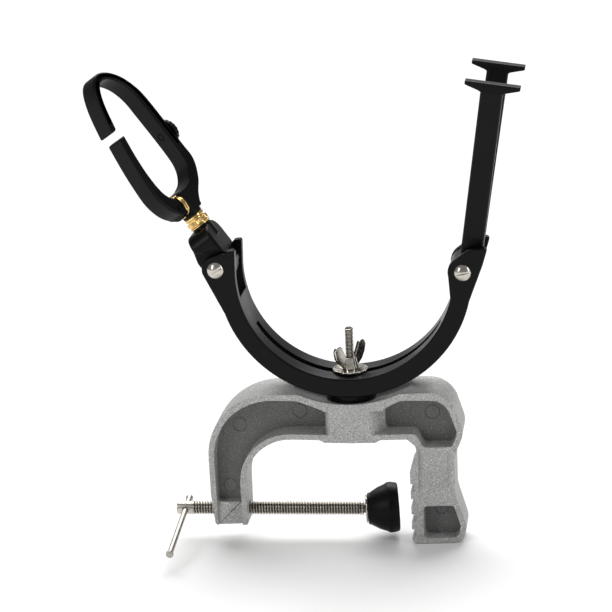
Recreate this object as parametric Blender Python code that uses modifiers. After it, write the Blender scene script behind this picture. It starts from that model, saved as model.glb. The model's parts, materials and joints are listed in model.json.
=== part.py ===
"""Clamp-on cradle stand.

A cast C-clamp carries a swivel seat and a slotted, arched cradle held by a bolt and wing nut.
One end of the arch holds a folding two-prong rest, the other a folding yoke with a split ring.

Frame, in metres: the origin is on the fixed jaw's face, on the land level with the middle tooth.
+X is the way the clamp screw pushes, +Y is the object's back and +Z is up.
"""
import math

import bmesh
import bpy
from mathutils import Matrix, Vector

# ---- driving dimensions -------------------------------------------------------------------
GAP = 0.0003                      # left between pieces that touch

# C-clamp frame
BOLT_X = -0.041                   # the cradle bolt's vertical axis
BEAM_UNDER = 0.0537               # underside of the beam
BEAM_TOP = 0.0868                 # top of both shoulders
LEG_OUT, LEG_IN = -0.143, -0.117  # outer and inner faces of the threaded leg
LEG_FOOT = -0.0135
JAW_BACK, JAW_NECK = 0.0385, 0.0312    # the fixed jaw's back, at its widest and narrowest
JAW_TOP, JAW_FOOT = 0.030, -0.0255
RIM = 0.0042                      # thickness of the rims round the pockets
WEB = 0.0052                      # thickness of the web between the pockets
BOSS_HALF = 0.0177                # half width of the solid boss under the cradle
BOSS_DEPTH = 0.0225               # half depth of the casting at the boss
BOSS_LOW = BEAM_UNDER - 0.0018    # underside of the boss
FLANK_TOP = 0.0752                # where the boss's sloping flanks end
HOLLOW_R, HOLLOW_FLOOR, HOLLOW_Z = 0.065, 0.0140, 0.0268     # hollow in the jaw's side faces
DISH_R, DISH_LOW = 0.090, 0.0777  # hollow in the top of the boss, and its lowest point
TOOTH_PITCH, TOOTH_GAP, TOOTH_DEPTH = 0.0115, 0.0055, 0.0028
TOOTH_COUNT = 4
TOOTH_FIRST = -0.0172

# clamp screw
SCREW_Z = -0.004
SCREW_R = 0.0050
SCREW_TAIL = -0.170               # free end of the plain head
HEAD_END = -0.1576                # where the head meets the thread
THREAD_END = -0.0372
HEAD_R = 0.0048
JOURNAL_R = 0.0034
BALL_X, BALL_R = -0.026, 0.0045
PAD_TURN, PAD_TILT = 8.5, 1.5     # degrees the pad looks to the back and up at rest
PAD_SMALL_R, PAD_R = 0.011, 0.018
PAD_START, PAD_FLARE, PAD_FACE = -0.0326, -0.0185, -0.0105
BAR_R, BAR_FRONT, BAR_BACK = 0.0020, 0.070, 0.0155
BAR_X, BAR_DROP = -0.1638, 7.4    # the bar's place on the head, and its angle below level

# arched cradle
ARC_Z = 0.173                     # height of the arch's centre
ARC_IN, ARC_OUT = 0.075, 0.088
ARC_HALF = 0.020                  # half width of the arch
CHANNEL_HALF = 0.0132             # half width of the channel behind the web
WEB_R = 0.079                     # outer radius of the web that holds the slot
WEB_ENDS = (193.0, 347.0)         # degrees, where the web stops and the forked ends begin
SLOT_HALF, SLOT_SPAN = 0.0041, 59.0
LEFT_RIVET = (-0.0885, 0.0040)    # hinge centres, from the arch's centre
RIGHT_RIVET = (0.0817, 0.0006)
RIVET_R, RIVET_HEAD_R = 0.0030, 0.0058
SEAT_R = 0.0175
STUD_R, STUD_TOP = 0.0030, 0.1301
WASHER_R, WASHER_T = 0.0125, 0.0012
WASHER_LOW = 0.09935
WING_TURN = 54.0                  # degrees the wings are turned from the arch's plane at rest

# folding two-prong rest
FORK_LEAN = 8.8                   # degrees from upright at rest
PRONG_IN, PRONG_OUT = -0.0035, 0.0115
PRONG_T = 0.008
PRONG_ROOT = 0.020                # height at which the prongs start to splay
FORK_TOP, CROSSBAR_LOW = 0.1360, 0.1294
CROSSBAR_Y, CROSSBAR_HALF, CROSSBAR_DEPTH = 0.0395, 0.0184, 0.0095
TONGUE_HALF = 0.0127              # half thickness of both hinge tongues

# yoke and split ring
STEM_LEAN = -35.5                 # degrees from upright at rest
RING_TURN = 60.0                  # degrees the ring is turned about its stem at rest
STEM_U, STEM_S = 0.0064, 0.0339   # stem bushing's centre, from the left hinge
YOKE_HALF = 0.018
YOKE_IN, YOKE_OUT, YOKE_TOP = 0.0125, -0.0053, 0.0278
YOKE_HOLLOW_R = 0.0137
BUSH_HALF, BUSH_R = 0.0043, 0.0082
BAND_HALF = 0.0075                # half width of the ring's band
PIVOT_S = 0.015                   # gate pivot, above the stem bushing
KNOB_S, KNOB_R = 0.0595, 0.0095
KNOB_FACE = 0.0320                # outer face of the knob
KNOB_SCREW_R = 0.0024
HUB_FACE, GATE_FACE = -0.0048, -0.0089    # the faces either side of the gate's bushing
HOOK_TIP, GATE_TIP = 0.0835, 0.0775
STEM_PIN_R, STEM_PIN_LOW, STEM_PIN_TOP = 0.0030, -0.013, 0.0110
GATE_PIN_R, GATE_PIN_TAIL, GATE_PIN_HEAD = 0.0020, -0.0115, 0.0098


def turn_and_place(place, *turns):
    """A frame at a place, turned by (degrees, axis) pairs in order."""
    frame = Matrix.Translation(place)
    for degrees, axis in turns:
        frame = frame @ Matrix.Rotation(math.radians(degrees), 4, axis)
    return frame


WORLD = Matrix.Identity(4)
ALONG_X = (90.0, 'Y')             # turns a piece's own Z to +X
ALONG_FRONT = (90.0, 'X')         # turns a piece's own Z to -Y
SCREW_AXIS = turn_and_place((0, 0, SCREW_Z), ALONG_X)
BALL = turn_and_place((BALL_X, 0, SCREW_Z), (PAD_TURN, 'Z'), (-PAD_TILT, 'Y'), ALONG_X)
BAR_AXIS = turn_and_place((BAR_X, 0, SCREW_Z), (90.0 + BAR_DROP, 'X'))
BOLT_AXIS = turn_and_place((BOLT_X, 0, 0))
WING_FRAME = BOLT_AXIS @ turn_and_place((0, 0, 0), (WING_TURN, 'Z'))
ARCH = turn_and_place((BOLT_X, 0, ARC_Z))
LEFT_HINGE = ARCH @ turn_and_place((LEFT_RIVET[0], 0, LEFT_RIVET[1]))
RIGHT_HINGE = ARCH @ turn_and_place((RIGHT_RIVET[0], 0, RIGHT_RIVET[1]))
YOKE = LEFT_HINGE @ turn_and_place((0, 0, 0), (STEM_LEAN, 'Y'))
FORK = RIGHT_HINGE @ turn_and_place((0, 0, 0), (FORK_LEAN, 'Y'))
STEM = YOKE @ turn_and_place((STEM_U, 0, STEM_S))
RING = STEM @ turn_and_place((0, 0, 0), (RING_TURN, 'Z'))
PIVOT = RING @ turn_and_place((0, 0, PIVOT_S), ALONG_X)
KNOB = RING @ turn_and_place((0, 0, KNOB_S), ALONG_X)


# ---- scene helpers ------------------------------------------------------------------------
def clear_scene():
    for old in list(bpy.data.objects):
        bpy.data.objects.remove(old)


def new_collection(name):
    collection = bpy.data.collections.new(name)
    bpy.context.scene.collection.children.link(collection)
    return collection


def finish(name, colour, roughness, metallic=0.0):
    material = bpy.data.materials.new(name)
    material.use_nodes = True
    shader = material.node_tree.nodes["Principled BSDF"]
    shader.inputs["Base Color"].default_value = (*colour, 1.0)
    shader.inputs["Roughness"].default_value = roughness
    shader.inputs["Metallic"].default_value = metallic
    return material


def add_part(name, mesh, frame, material):
    part = bpy.data.objects.new(name, mesh)
    part.matrix_world = frame
    mesh.materials.append(material)
    PARTS.objects.link(part)
    return part


def add_tool(name, mesh, frame):
    """A shape that only cuts another, or is united with it."""
    tool = bpy.data.objects.new(name, mesh)
    tool.matrix_world = frame
    tool.hide_render = True
    tool.display_type = 'WIRE'
    TOOLS.objects.link(tool)
    return tool


def combine(part, tool, operation='DIFFERENCE'):
    step = part.modifiers.new(tool.name, 'BOOLEAN')
    step.operation = operation
    step.solver = 'EXACT'
    step.object = tool


def soften(part, width, segments=2, angle=50.0):
    bevel = part.modifiers.new("soft edges", 'BEVEL')
    bevel.width = width
    bevel.segments = segments
    bevel.limit_method = 'ANGLE'
    bevel.angle_limit = math.radians(angle)


# ---- shape helpers ------------------------------------------------------------------------
def arc(centre, radius, start, end, step=5.0):
    """Points along a circle between two angles in degrees."""
    count = max(1, math.ceil(abs(end - start) / step))
    angles = [math.radians(start + (end - start) * i / count) for i in range(count + 1)]
    return [(centre[0] + radius * math.cos(a), centre[1] + radius * math.sin(a)) for a in angles]


def rounded(corners, step=15.0):
    """An outline through (x, z, radius) corners, each rounded by an arc of its radius."""
    outline = []
    for index, (x, z, radius) in enumerate(corners):
        here = Vector((x, z))
        back = (Vector(corners[index - 1][:2]) - here).normalized()
        ahead = (Vector(corners[(index + 1) % len(corners)][:2]) - here).normalized()
        if radius == 0:
            outline.append((x, z))
            continue
        half = back.angle(ahead) / 2
        centre = here + (back + ahead).normalized() * (radius / math.sin(half))
        start = here + back * (radius / math.tan(half)) - centre
        end = here + ahead * (radius / math.tan(half)) - centre
        sweep = math.pi - 2 * half
        if start.x * end.y - start.y * end.x < 0:
            sweep = -sweep
        first = math.atan2(start.y, start.x)
        outline += arc(centre, radius, math.degrees(first), math.degrees(first + sweep), step)
    return outline


def smooth(points, spans=4):
    """Points along a soft curve that passes through the given ones."""
    ends = [points[0]] + points + [points[-1]]
    curve = []
    for a, b, c, d in zip(ends, ends[1:], ends[2:], ends[3:]):
        a, b, c, d = Vector(a), Vector(b), Vector(c), Vector(d)
        for i in range(spans):
            t = i / spans
            point = (2 * b + (c - a) * t + (2 * a - 5 * b + 4 * c - d) * t * t
                     + (3 * b - a - 3 * c + d) * t ** 3) / 2
            curve.append(tuple(point))
    curve.append(tuple(points[-1]))
    return curve


def prism(name, outline, low, high):
    """A mesh with a flat outline of (x, z) points, from y = low to y = high."""
    curve = bpy.data.curves.new(name, 'CURVE')
    curve.dimensions = '2D'
    curve.fill_mode = 'BOTH'
    curve.extrude = (high - low) / 2
    spline = curve.splines.new('POLY')
    spline.points.add(len(outline) - 1)
    for point, (x, z) in zip(spline.points, outline):
        point.co = (x, z, 0, 1)
    spline.use_cyclic_u = True
    flat = bpy.data.objects.new(name, curve)
    bpy.context.scene.collection.objects.link(flat)
    graph = bpy.context.evaluated_depsgraph_get()
    mesh = bpy.data.meshes.new_from_object(flat.evaluated_get(graph))
    bpy.data.objects.remove(flat)
    shape = bmesh.new()
    shape.from_mesh(mesh)
    bmesh.ops.remove_doubles(shape, verts=shape.verts, dist=1e-6)
    bmesh.ops.dissolve_limit(shape, angle_limit=math.radians(0.5), verts=shape.verts,
                             edges=shape.edges)
    shape.transform(turn_and_place((0, (low + high) / 2, 0), ALONG_FRONT))
    bmesh.ops.recalc_face_normals(shape, faces=shape.faces)
    shape.to_mesh(mesh)
    shape.free()
    return mesh


def cylinder(name, radius, low, high, sides=24):
    """A mesh of a plain cylinder about its own Z."""
    shape = bmesh.new()
    bmesh.ops.create_cone(shape, cap_ends=True, segments=sides, radius1=radius, radius2=radius,
                          depth=high - low, matrix=Matrix.Translation((0, 0, (low + high) / 2)))
    mesh = bpy.data.meshes.new(name)
    shape.to_mesh(mesh)
    shape.free()
    return mesh


def turned(name, profile, frame, material, steps=24, closed=False):
    """A turned part about its frame's Z. The (radius, height) profile runs from top to bottom."""
    mesh = bpy.data.meshes.new(name)
    edges = [(i, i + 1) for i in range(len(profile) - 1)]
    if closed:
        edges.append((len(profile) - 1, 0))
    mesh.from_pydata([(radius, 0, height) for radius, height in profile], edges, [])
    part = add_part(name, mesh, frame, material)
    screw = part.modifiers.new("turn", 'SCREW')
    screw.axis = 'Z'
    screw.steps = steps
    screw.render_steps = steps
    screw.use_merge_vertices = True
    screw.merge_threshold = 1e-6
    return part


# ---- C-clamp ------------------------------------------------------------------------------
def trim_depth(mesh, side, planes):
    """Cuts the front or back of the casting down to sloping faces.

    Each plane is three (x, z, half depth) points."""
    shape = bmesh.new()
    shape.from_mesh(mesh)
    for three in planes:
        a, b, c = (Vector((x, side * depth, z)) for x, z, depth in three)
        normal = (b - a).cross(c - a).normalized()
        if normal.y * side < 0:
            normal.negate()
        cut = bmesh.ops.bisect_plane(shape, geom=shape.verts[:] + shape.edges[:] + shape.faces[:],
                                     plane_co=a, plane_no=normal, clear_outer=True)
        rim = [item for item in cut['geom_cut'] if isinstance(item, bmesh.types.BMEdge)]
        bmesh.ops.edgenet_fill(shape, edges=rim)
    bmesh.ops.recalc_face_normals(shape, faces=shape.faces)
    shape.to_mesh(mesh)
    shape.free()


def clamp_outline():
    return rounded([
        (LEG_OUT + 0.002, LEG_FOOT, 0.003),
        (LEG_OUT, 0.010, 0.030),
        (LEG_OUT, BEAM_TOP, 0.049),
        (0.028, BEAM_TOP + 0.0015, 0.020),
        (JAW_BACK, 0.057, 0.016),
        (JAW_NECK, 0.040, 0.022),
        (JAW_NECK, 0.012, 0.022),
        (JAW_BACK, -0.012, 0.012),
        (JAW_BACK - 0.002, JAW_FOOT, 0.009),
        (0, JAW_FOOT, 0.004),
        (0, JAW_TOP, 0.003),
        (0.0048, 0.037, 0.004),
        (0.0048, 0.048, 0.004),
        (-0.001, BEAM_UNDER, 0.003),
        (BOLT_X + 0.0215, BEAM_UNDER, 0),
        (BOLT_X + 0.0180, BOSS_LOW, 0.002),
        (BOLT_X - 0.0180, BOSS_LOW, 0.002),
        (BOLT_X - 0.0215, BEAM_UNDER, 0),
        (LEG_IN, BEAM_UNDER, 0.035),
        (LEG_IN, LEG_FOOT + 0.001, 0.002)], 6)


def clamp_pockets():
    """Outlines of the three pockets in each side of the casting."""
    left = rounded([
        (LEG_OUT + RIM, 0.004, 0.002),
        (LEG_OUT + RIM, BEAM_TOP - RIM, 0.045),
        (BOLT_X - 0.036, BEAM_TOP - RIM, 0.010),
        (BOLT_X - BOSS_HALF, 0.0758, 0.002),
        (BOLT_X - BOSS_HALF, BEAM_UNDER + RIM, 0.003),
        (LEG_IN - RIM, BEAM_UNDER + RIM, 0.039),
        (LEG_IN - RIM, 0.004, 0.002)], 7.5)
    upper = rounded([
        (BOLT_X + 0.024, BEAM_UNDER + RIM, 0.003),
        (BOLT_X + 0.024, 0.0765, 0.002),
        (BOLT_X + 0.036, BEAM_TOP - RIM, 0.006),
        (0.0255, BEAM_TOP - RIM, 0.015),
        (0.0340, 0.0572, 0.010),
        (0.0298, 0.0475, 0.003),
        (0.0100, 0.0475, 0.004),
        (0.0050, BEAM_UNDER + RIM, 0.004)], 10)
    lower = rounded([
        (0.0085, JAW_FOOT + RIM, 0.003),
        (0.0085, 0.003, 0.003),
        (0.0296, 0.003, 0.003),
        (0.0342, -0.012, 0.008),
        (0.0328, JAW_FOOT + RIM, 0.005)], 10)
    return {"left_pocket": left, "upper_pocket": upper, "lower_pocket": lower}


def shape_faces(clamp):
    """Slopes the boss's flanks into the pockets and hollows the jaw's face.

    The flanks are outlined by (distance from the bolt, depth) points."""
    flanks = {
        "left": (-1, [(0.0125, 0.0223), (0.0146, 0.0212), (0.0162, 0.0188), (0.0172, 0.0150),
                      (0.0178, 0.0090), (0.0190, 0.0090), (0.0190, 0.0260), (0.0125, 0.0260)]),
        "right": (1, [(0.0125, 0.0223), (0.0150, 0.0212), (0.0176, 0.0186), (0.0202, 0.0148),
                      (0.0232, 0.0090), (0.0250, 0.0090), (0.0250, 0.0260), (0.0125, 0.0260)])}
    for side, face in {1: "front", -1: "back"}.items():
        for name, (way, points) in flanks.items():
            outline = [(BOLT_X + way * across, side * depth) for across, depth in points]
            flank = prism("flank", outline, BEAM_UNDER + RIM, FLANK_TOP)
            combine(clamp, add_tool(f"{name}_flank_{face}", flank,
                                    turn_and_place((0, 0, 0), ALONG_FRONT)))
        middle = turn_and_place((0, -side * (HOLLOW_FLOOR + HOLLOW_R), HOLLOW_Z), ALONG_X)
        hollow = cylinder("jaw_hollow", HOLLOW_R, 0.0058, 0.0270, 96)
        combine(clamp, add_tool(f"jaw_hollow_{face}", hollow, middle))


def make_clamp(material):
    mesh = prism("clamp_frame", clamp_outline(), -BOSS_DEPTH, BOSS_DEPTH)
    left_face = [(BOLT_X - BOSS_HALF, 0.070, 0.0215), (LEG_OUT, 0.060, 0.0150),
                 (LEG_OUT, -0.010, 0.0110)]
    right_face = [(BOLT_X + BOSS_HALF, 0.070, 0.0215), (JAW_BACK, 0.065, 0.0165),
                  (JAW_BACK, 0.000, 0.0128)]
    for side in (-1, 1):
        trim_depth(mesh, side, [left_face, right_face])
    clamp = add_part("clamp_frame", mesh, WORLD, material)
    for name, outline in clamp_pockets().items():
        for side, (low, high) in {"front": (-0.030, -WEB / 2), "back": (WEB / 2, 0.030)}.items():
            tool = add_tool(f"{name}_{side}", prism(name, outline, low, high), WORLD)
            combine(clamp, tool)
    shape_faces(clamp)
    dish = bmesh.new()
    bmesh.ops.create_uvsphere(dish, u_segments=72, v_segments=48, radius=DISH_R)
    dish_mesh = bpy.data.meshes.new("dish")
    dish.to_mesh(dish_mesh)
    dish.free()
    sphere = BOLT_AXIS @ turn_and_place((0, 0, DISH_LOW + DISH_R))
    combine(clamp, add_tool("dish", dish_mesh, sphere))
    for index in range(TOOTH_COUNT):
        middle = TOOTH_FIRST + index * TOOTH_PITCH
        groove = rounded([
            (-0.003, middle - TOOTH_GAP / 2, 0), (-0.003, middle + TOOTH_GAP / 2, 0),
            (TOOTH_DEPTH, middle + TOOTH_GAP / 2, 0.001),
            (TOOTH_DEPTH, middle - TOOTH_GAP / 2, 0.001)])
        name = f"tooth_groove_{index}"
        combine(clamp, add_tool(name, prism(name, groove, -0.03, 0.03), WORLD))
    bores = {
        "screw_bore": cylinder("screw_bore", SCREW_R + GAP, -0.20, -0.09),
        "stud_bore": cylinder("stud_bore", STUD_R + GAP, 0.04, 0.12),
        "stud_head_pocket": cylinder("stud_head_pocket", 0.0062, 0.04, BEAM_UNDER + 0.0045)}
    combine(clamp, add_tool("screw_bore", bores["screw_bore"], SCREW_AXIS))
    combine(clamp, add_tool("stud_head_pocket", bores["stud_head_pocket"], BOLT_AXIS))
    combine(clamp, add_tool("stud_bore", bores["stud_bore"], BOLT_AXIS))


def make_clamp_screw(steel):
    neck = THREAD_END + 0.0006
    ball_front = BALL_X + BALL_R
    ball = [(BALL_R * math.sin(math.radians(a)), BALL_X + BALL_R * math.cos(math.radians(a)))
            for a in range(15, 150, 15)]
    profile = [(0, ball_front)] + ball + [
        (0.0022, BALL_X - 0.0045), (0.0022, -0.0325), (JOURNAL_R, -0.0325), (JOURNAL_R, neck),
        (SCREW_R - 0.0006, neck), (SCREW_R, THREAD_END - 0.0006), (SCREW_R, HEAD_END),
        (HEAD_R, HEAD_END - 0.0004), (HEAD_R, SCREW_TAIL + 0.001), (HEAD_R - 0.001, SCREW_TAIL),
        (0, SCREW_TAIL)]
    screw = turned("clamp_screw", profile, SCREW_AXIS, steel)
    bar_hole = cylinder("bar_hole", BAR_R + GAP, -0.02, 0.02, 16)
    combine(screw, add_tool("bar_hole", bar_hole, BAR_AXIS))


def make_tommy_bar(steel):
    end = BAR_R + 0.0007
    profile = [(0, BAR_FRONT), (end - 0.0006, BAR_FRONT), (end, BAR_FRONT - 0.0007),
               (end, BAR_FRONT - 0.0018), (BAR_R, BAR_FRONT - 0.0035), (BAR_R, 0.0035 - BAR_BACK),
               (end, 0.0018 - BAR_BACK), (end, 0.0007 - BAR_BACK), (end - 0.0006, -BAR_BACK),
               (0, -BAR_BACK)]
    turned("tommy_bar", profile, BAR_AXIS, steel, 16)


def make_pad(steel, rubber):
    washer_in, washer_out = THREAD_END + 0.0009, THREAD_END + 0.0016
    turned("pad_washer", [(JOURNAL_R + GAP, washer_out), (0.0052, washer_out), (0.0052, washer_in),
                          (JOURNAL_R + GAP, washer_in)], SCREW_AXIS, steel, closed=True)
    cup_back, cup_front = PAD_START - 0.0015 - BALL_X, PAD_START - GAP - BALL_X
    turned("pad_cup", [(0.0054, cup_front), (0.0098, cup_front), (0.0100, cup_front - 0.0004),
                       (0.0100, cup_back + 0.0004), (0.0096, cup_back), (0.0054, cup_back)],
           BALL, steel, closed=True)
    start, flare, face = PAD_START - BALL_X, PAD_FLARE - BALL_X, PAD_FACE - BALL_X
    socket = BALL_R + 0.0006
    profile = [(0, face), (PAD_R - 0.0010, face), (PAD_R, face - 0.0010), (PAD_R, flare),
               (PAD_R - 0.0012, flare - 0.0015), (PAD_SMALL_R + 0.0022, start + 0.0050),
               (PAD_SMALL_R, start + 0.0014), (PAD_SMALL_R - 0.0010, start), (socket, start),
               (socket, 0.0030), (socket - 0.0016, 0.0052), (0, 0.0052)]
    turned("clamp_pad", profile, BALL, rubber, 32)


# ---- cradle -------------------------------------------------------------------------------
def arch_outline():
    centre = (0, 0)
    left, right = LEFT_RIVET, RIGHT_RIVET
    inner = arc(centre, ARC_IN, 180, 346, 4)
    right_end = (arc(right, 0.0103, 195, 130, 16)
                 + [(0.0853, 0.0164), (0.0965, 0.0178), (0.0988, 0.0165), (0.0955, 0.0057)])
    outer = arc(centre, ARC_OUT, 347, 198, 4)
    left_end = (arc(left, 0.0097, 195, 118, 16)
                + [(-0.0841, 0.0158), (-0.0812, 0.0150), (-0.0802, 0.0174), (-0.0757, 0.0182),
                   (-0.0746, 0.0168)])
    return inner + right_end + outer + left_end


def make_arch(plastic):
    arch = add_part("cradle_arch", prism("cradle_arch", arch_outline(), -ARC_HALF, ARC_HALF),
                    ARCH, plastic)
    soften(arch, 0.0012, 2, 80.0)
    start, end = WEB_ENDS
    mouth = 0.060                     # inside the arch, clear of it
    right, left = (arc((0, 0), mouth, angle, angle)[0] for angle in (end, start))
    channel = (arc((0, 0), WEB_R, start, end, 4) + [right, (mouth, 0.04), (0.12, 0.04)]
               + [(0.12, -0.12), (-0.12, -0.12), (-0.12, 0.04), (-mouth, 0.04), left])
    combine(arch, add_tool("channel", prism("channel", channel, -CHANNEL_HALF, CHANNEL_HALF),
                           ARCH))
    low, high = 270 - SLOT_SPAN, 270 + SLOT_SPAN
    slot = arc((0, 0), ARC_IN - 0.006, low, high, 6) + arc((0, 0), WEB_R + 0.006, high, low, 6)
    combine(arch, add_tool("slot", prism("slot", slot, -SLOT_HALF, SLOT_HALF), ARCH))
    for name, hinge in {"left": LEFT_HINGE, "right": RIGHT_HINGE}.items():
        hole = cylinder("hole", RIVET_R + GAP, -0.03, 0.03, 20)
        tool = add_tool(f"{name}_hinge_hole", hole, hinge @ turn_and_place((0, 0, 0), ALONG_FRONT))
        combine(arch, tool)


def make_seat(plastic):
    """The saddle that turns in the boss's dish and guides the arch's channel."""
    low = DISH_LOW + GAP
    dome = [(r, low + DISH_R - math.sqrt(DISH_R ** 2 - r ** 2)) for r in
            (SEAT_R, SEAT_R * 0.67, SEAT_R * 0.33)]
    seat = turned("swivel_seat", [(0, 0.096), (SEAT_R, 0.096)] + dome + [(0, low)],
                  BOLT_AXIS, plastic, 36)
    trough = arc((0, 0), ARC_OUT + GAP, 250, 290, 4) + [(0.03, -0.05), (-0.03, -0.05)]
    combine(seat, add_tool("trough", prism("trough", trough, -0.03, 0.03), ARCH))
    rib = [(-0.0125, -0.0925), (0.0125, -0.0925)] + arc((0, 0), WEB_R + GAP, 279, 261, 4)
    combine(seat, add_tool("rib", prism("rib", rib, GAP - CHANNEL_HALF, CHANNEL_HALF - GAP),
                           ARCH), 'UNION')
    hole = cylinder("seat_hole", STUD_R + GAP, 0.06, 0.12, 20)
    combine(seat, add_tool("seat_hole", hole, BOLT_AXIS))


def make_stud(steel):
    head = BEAM_UNDER + 0.0042
    turned("cradle_bolt", [(0, STUD_TOP), (STUD_R - 0.0006, STUD_TOP),
                           (STUD_R, STUD_TOP - 0.0006), (STUD_R, head), (0.0057, head),
                           (0.0057, BEAM_UNDER - 0.0002), (0, BEAM_UNDER - 0.0002)],
           BOLT_AXIS, steel, 18)
    top = WASHER_LOW + WASHER_T
    turned("cradle_washer", [(STUD_R + GAP, top), (WASHER_R - 0.0002, top), (WASHER_R, top - 0.0002),
                             (WASHER_R, WASHER_LOW), (STUD_R + GAP, WASHER_LOW)],
           BOLT_AXIS, steel, 32, closed=True)


def make_wing_nut(steel):
    base = WASHER_LOW + WASHER_T + GAP
    hub_top = base + 0.0078
    bore = STUD_R + GAP
    nut = turned("wing_nut", [(bore, hub_top), (0.0046, hub_top), (0.0056, base + 0.0012),
                              (0.0058, base), (bore, base)], WING_FRAME, steel, 24, closed=True)
    for name, side in {"left": -1, "right": 1}.items():
        wing = rounded([(side * 0.0040, base + 0.0006, 0), (side * 0.0040, base + 0.0072, 0.0010),
                        (side * 0.0078, base + 0.0150, 0.0020), (side * 0.0112, base + 0.0180, 0.003),
                        (side * 0.0158, base + 0.0172, 0.0030), (side * 0.0146, base + 0.0100, 0.006),
                        (side * 0.0080, base + 0.0006, 0.0020)], 30)
        tool = add_tool(f"{name}_wing", prism("wing", wing, -0.0011, 0.0011), WING_FRAME)
        combine(nut, tool, 'UNION')


def make_hinge_fasteners(steel):
    """A two-part binding screw at each end of the arch: a barrel and the screw inside it."""
    face = ARC_HALF + GAP
    crown = face + 0.0024
    head = [(0, crown), (RIVET_HEAD_R * 0.55, crown - 0.0004), (RIVET_HEAD_R * 0.88, crown - 0.0012),
            (RIVET_HEAD_R, face + 0.0004), (RIVET_HEAD_R, face)]
    sleeve = 0.0019
    for name, hinge in {"left": LEFT_HINGE, "right": RIGHT_HINGE}.items():
        front = hinge @ turn_and_place((0, 0, 0), ALONG_FRONT)
        back = hinge @ turn_and_place((0, 0, 0), (-90.0, 'X'))
        turned(f"{name}_hinge_screw", head + [(sleeve, face), (sleeve, -0.010), (0, -0.010)],
               front, steel, 20)
        turned(f"{name}_hinge_barrel", head + [(RIVET_R, face), (RIVET_R, -0.018),
                                               (sleeve + GAP, -0.018), (sleeve + GAP, 0.0105),
                                               (0, 0.0105)], back, steel, 20)


# ---- two-prong rest -----------------------------------------------------------------------
def make_fork(plastic):
    spread = CROSSBAR_Y + PRONG_T / 2
    crotch = PRONG_ROOT + 0.004
    slope = (spread - TONGUE_HALF) / (CROSSBAR_LOW - PRONG_ROOT)
    inner_root = TONGUE_HALF + slope * (crotch - PRONG_ROOT) - PRONG_T
    half = [(TONGUE_HALF, -0.002, 0), (TONGUE_HALF, PRONG_ROOT, 0.020),
            (spread, CROSSBAR_LOW + 0.003, 0), (spread - PRONG_T, CROSSBAR_LOW + 0.003, 0),
            (inner_root, crotch, 0.003)]
    other = [(-y, z, radius) for y, z, radius in reversed(half)]
    sideways = turn_and_place((0, 0, 0), (90.0, 'Z'))
    fork = add_part("rest_fork", prism("rest_fork", rounded(half + other), -PRONG_OUT, -PRONG_IN),
                    FORK @ sideways, plastic)
    soften(fork, 0.0012, 1)
    knuckle = add_tool("fork_knuckle", cylinder("fork_knuckle", 0.0098, -TONGUE_HALF, TONGUE_HALF),
                       FORK @ turn_and_place((0, 0, 0), ALONG_FRONT))
    combine(fork, knuckle, 'UNION')
    middle = (PRONG_IN + PRONG_OUT) / 2
    reach = CROSSBAR_HALF
    bar = rounded([(middle - reach, FORK_TOP, 0.0005), (middle + reach, FORK_TOP, 0.0005),
                   (middle + reach, FORK_TOP - 0.0026, 0.001),
                   (PRONG_OUT + 0.0015, CROSSBAR_LOW + 0.0012, 0.002),
                   (PRONG_OUT - 0.0005, CROSSBAR_LOW, 0), (PRONG_IN + 0.0005, CROSSBAR_LOW, 0),
                   (PRONG_IN - 0.0015, CROSSBAR_LOW + 0.0012, 0.002),
                   (middle - reach, FORK_TOP - 0.0026, 0.001)], 30)
    for name, side in {"front": -1, "back": 1}.items():
        low = side * CROSSBAR_Y - CROSSBAR_DEPTH / 2
        mesh = prism("crossbar", bar, low, low + CROSSBAR_DEPTH)
        combine(fork, add_tool(f"{name}_crossbar", mesh, FORK), 'UNION')
    hole = cylinder("fork_hole", RIVET_R + GAP, -0.02, 0.02, 20)
    combine(fork, add_tool("fork_hole", hole, FORK @ turn_and_place((0, 0, 0), ALONG_FRONT)))


# ---- yoke and split ring ------------------------------------------------------------------
def make_yoke(plastic):
    sideways = turn_and_place((0, 0, 0), (90.0, 'Z'))
    face = rounded([(-YOKE_HALF, 0.004, 0), (YOKE_HALF, 0.004, 0), (YOKE_HALF, YOKE_TOP, 0.010),
                    (-YOKE_HALF, YOKE_TOP, 0.010)])
    yoke = add_part("ring_yoke", prism("ring_yoke", face, -YOKE_IN, -YOKE_OUT), YOKE @ sideways,
                    plastic)
    soften(yoke, 0.0012, 1)
    across = turn_and_place((0, 0, 0), ALONG_FRONT)
    hollow = cylinder("yoke_hollow", YOKE_HOLLOW_R, -0.03, 0.03, 48)
    combine(yoke, add_tool("yoke_hollow", hollow, YOKE @ across))
    slope = [(-0.012, 0.001), (0.0008, 0.001), (0.0008, YOKE_HOLLOW_R - 0.0003),
             (YOKE_OUT, 0.0176), (-0.012, 0.0226)]
    combine(yoke, add_tool("yoke_slope", prism("yoke_slope", slope, -0.03, 0.03), YOKE))
    tongue = rounded([(-0.0050, 0.022, 0), (-0.0092, 0.010, 0.004), (-0.0092, -0.0092, 0.0088),
                      (0.0050, -0.0124, 0.005), (0.0122, -0.0040, 0.006), (0.0118, 0.022, 0)])
    combine(yoke, add_tool("yoke_tongue", prism("tongue", tongue, -TONGUE_HALF, TONGUE_HALF),
                           YOKE), 'UNION')
    neck = cylinder("yoke_neck", 0.0073, YOKE_TOP - 0.010 - STEM_S, -BUSH_HALF - GAP)
    combine(yoke, add_tool("yoke_neck", neck, STEM), 'UNION')
    hinge_hole = cylinder("yoke_hinge_hole", RIVET_R + GAP, -0.02, 0.02, 20)
    combine(yoke, add_tool("yoke_hinge_hole", hinge_hole, YOKE @ across))
    stem_hole = cylinder("yoke_stem_hole", STEM_PIN_R + GAP, STEM_PIN_LOW - GAP, 0.01, 20)
    combine(yoke, add_tool("yoke_stem_hole", stem_hole, STEM))


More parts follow.
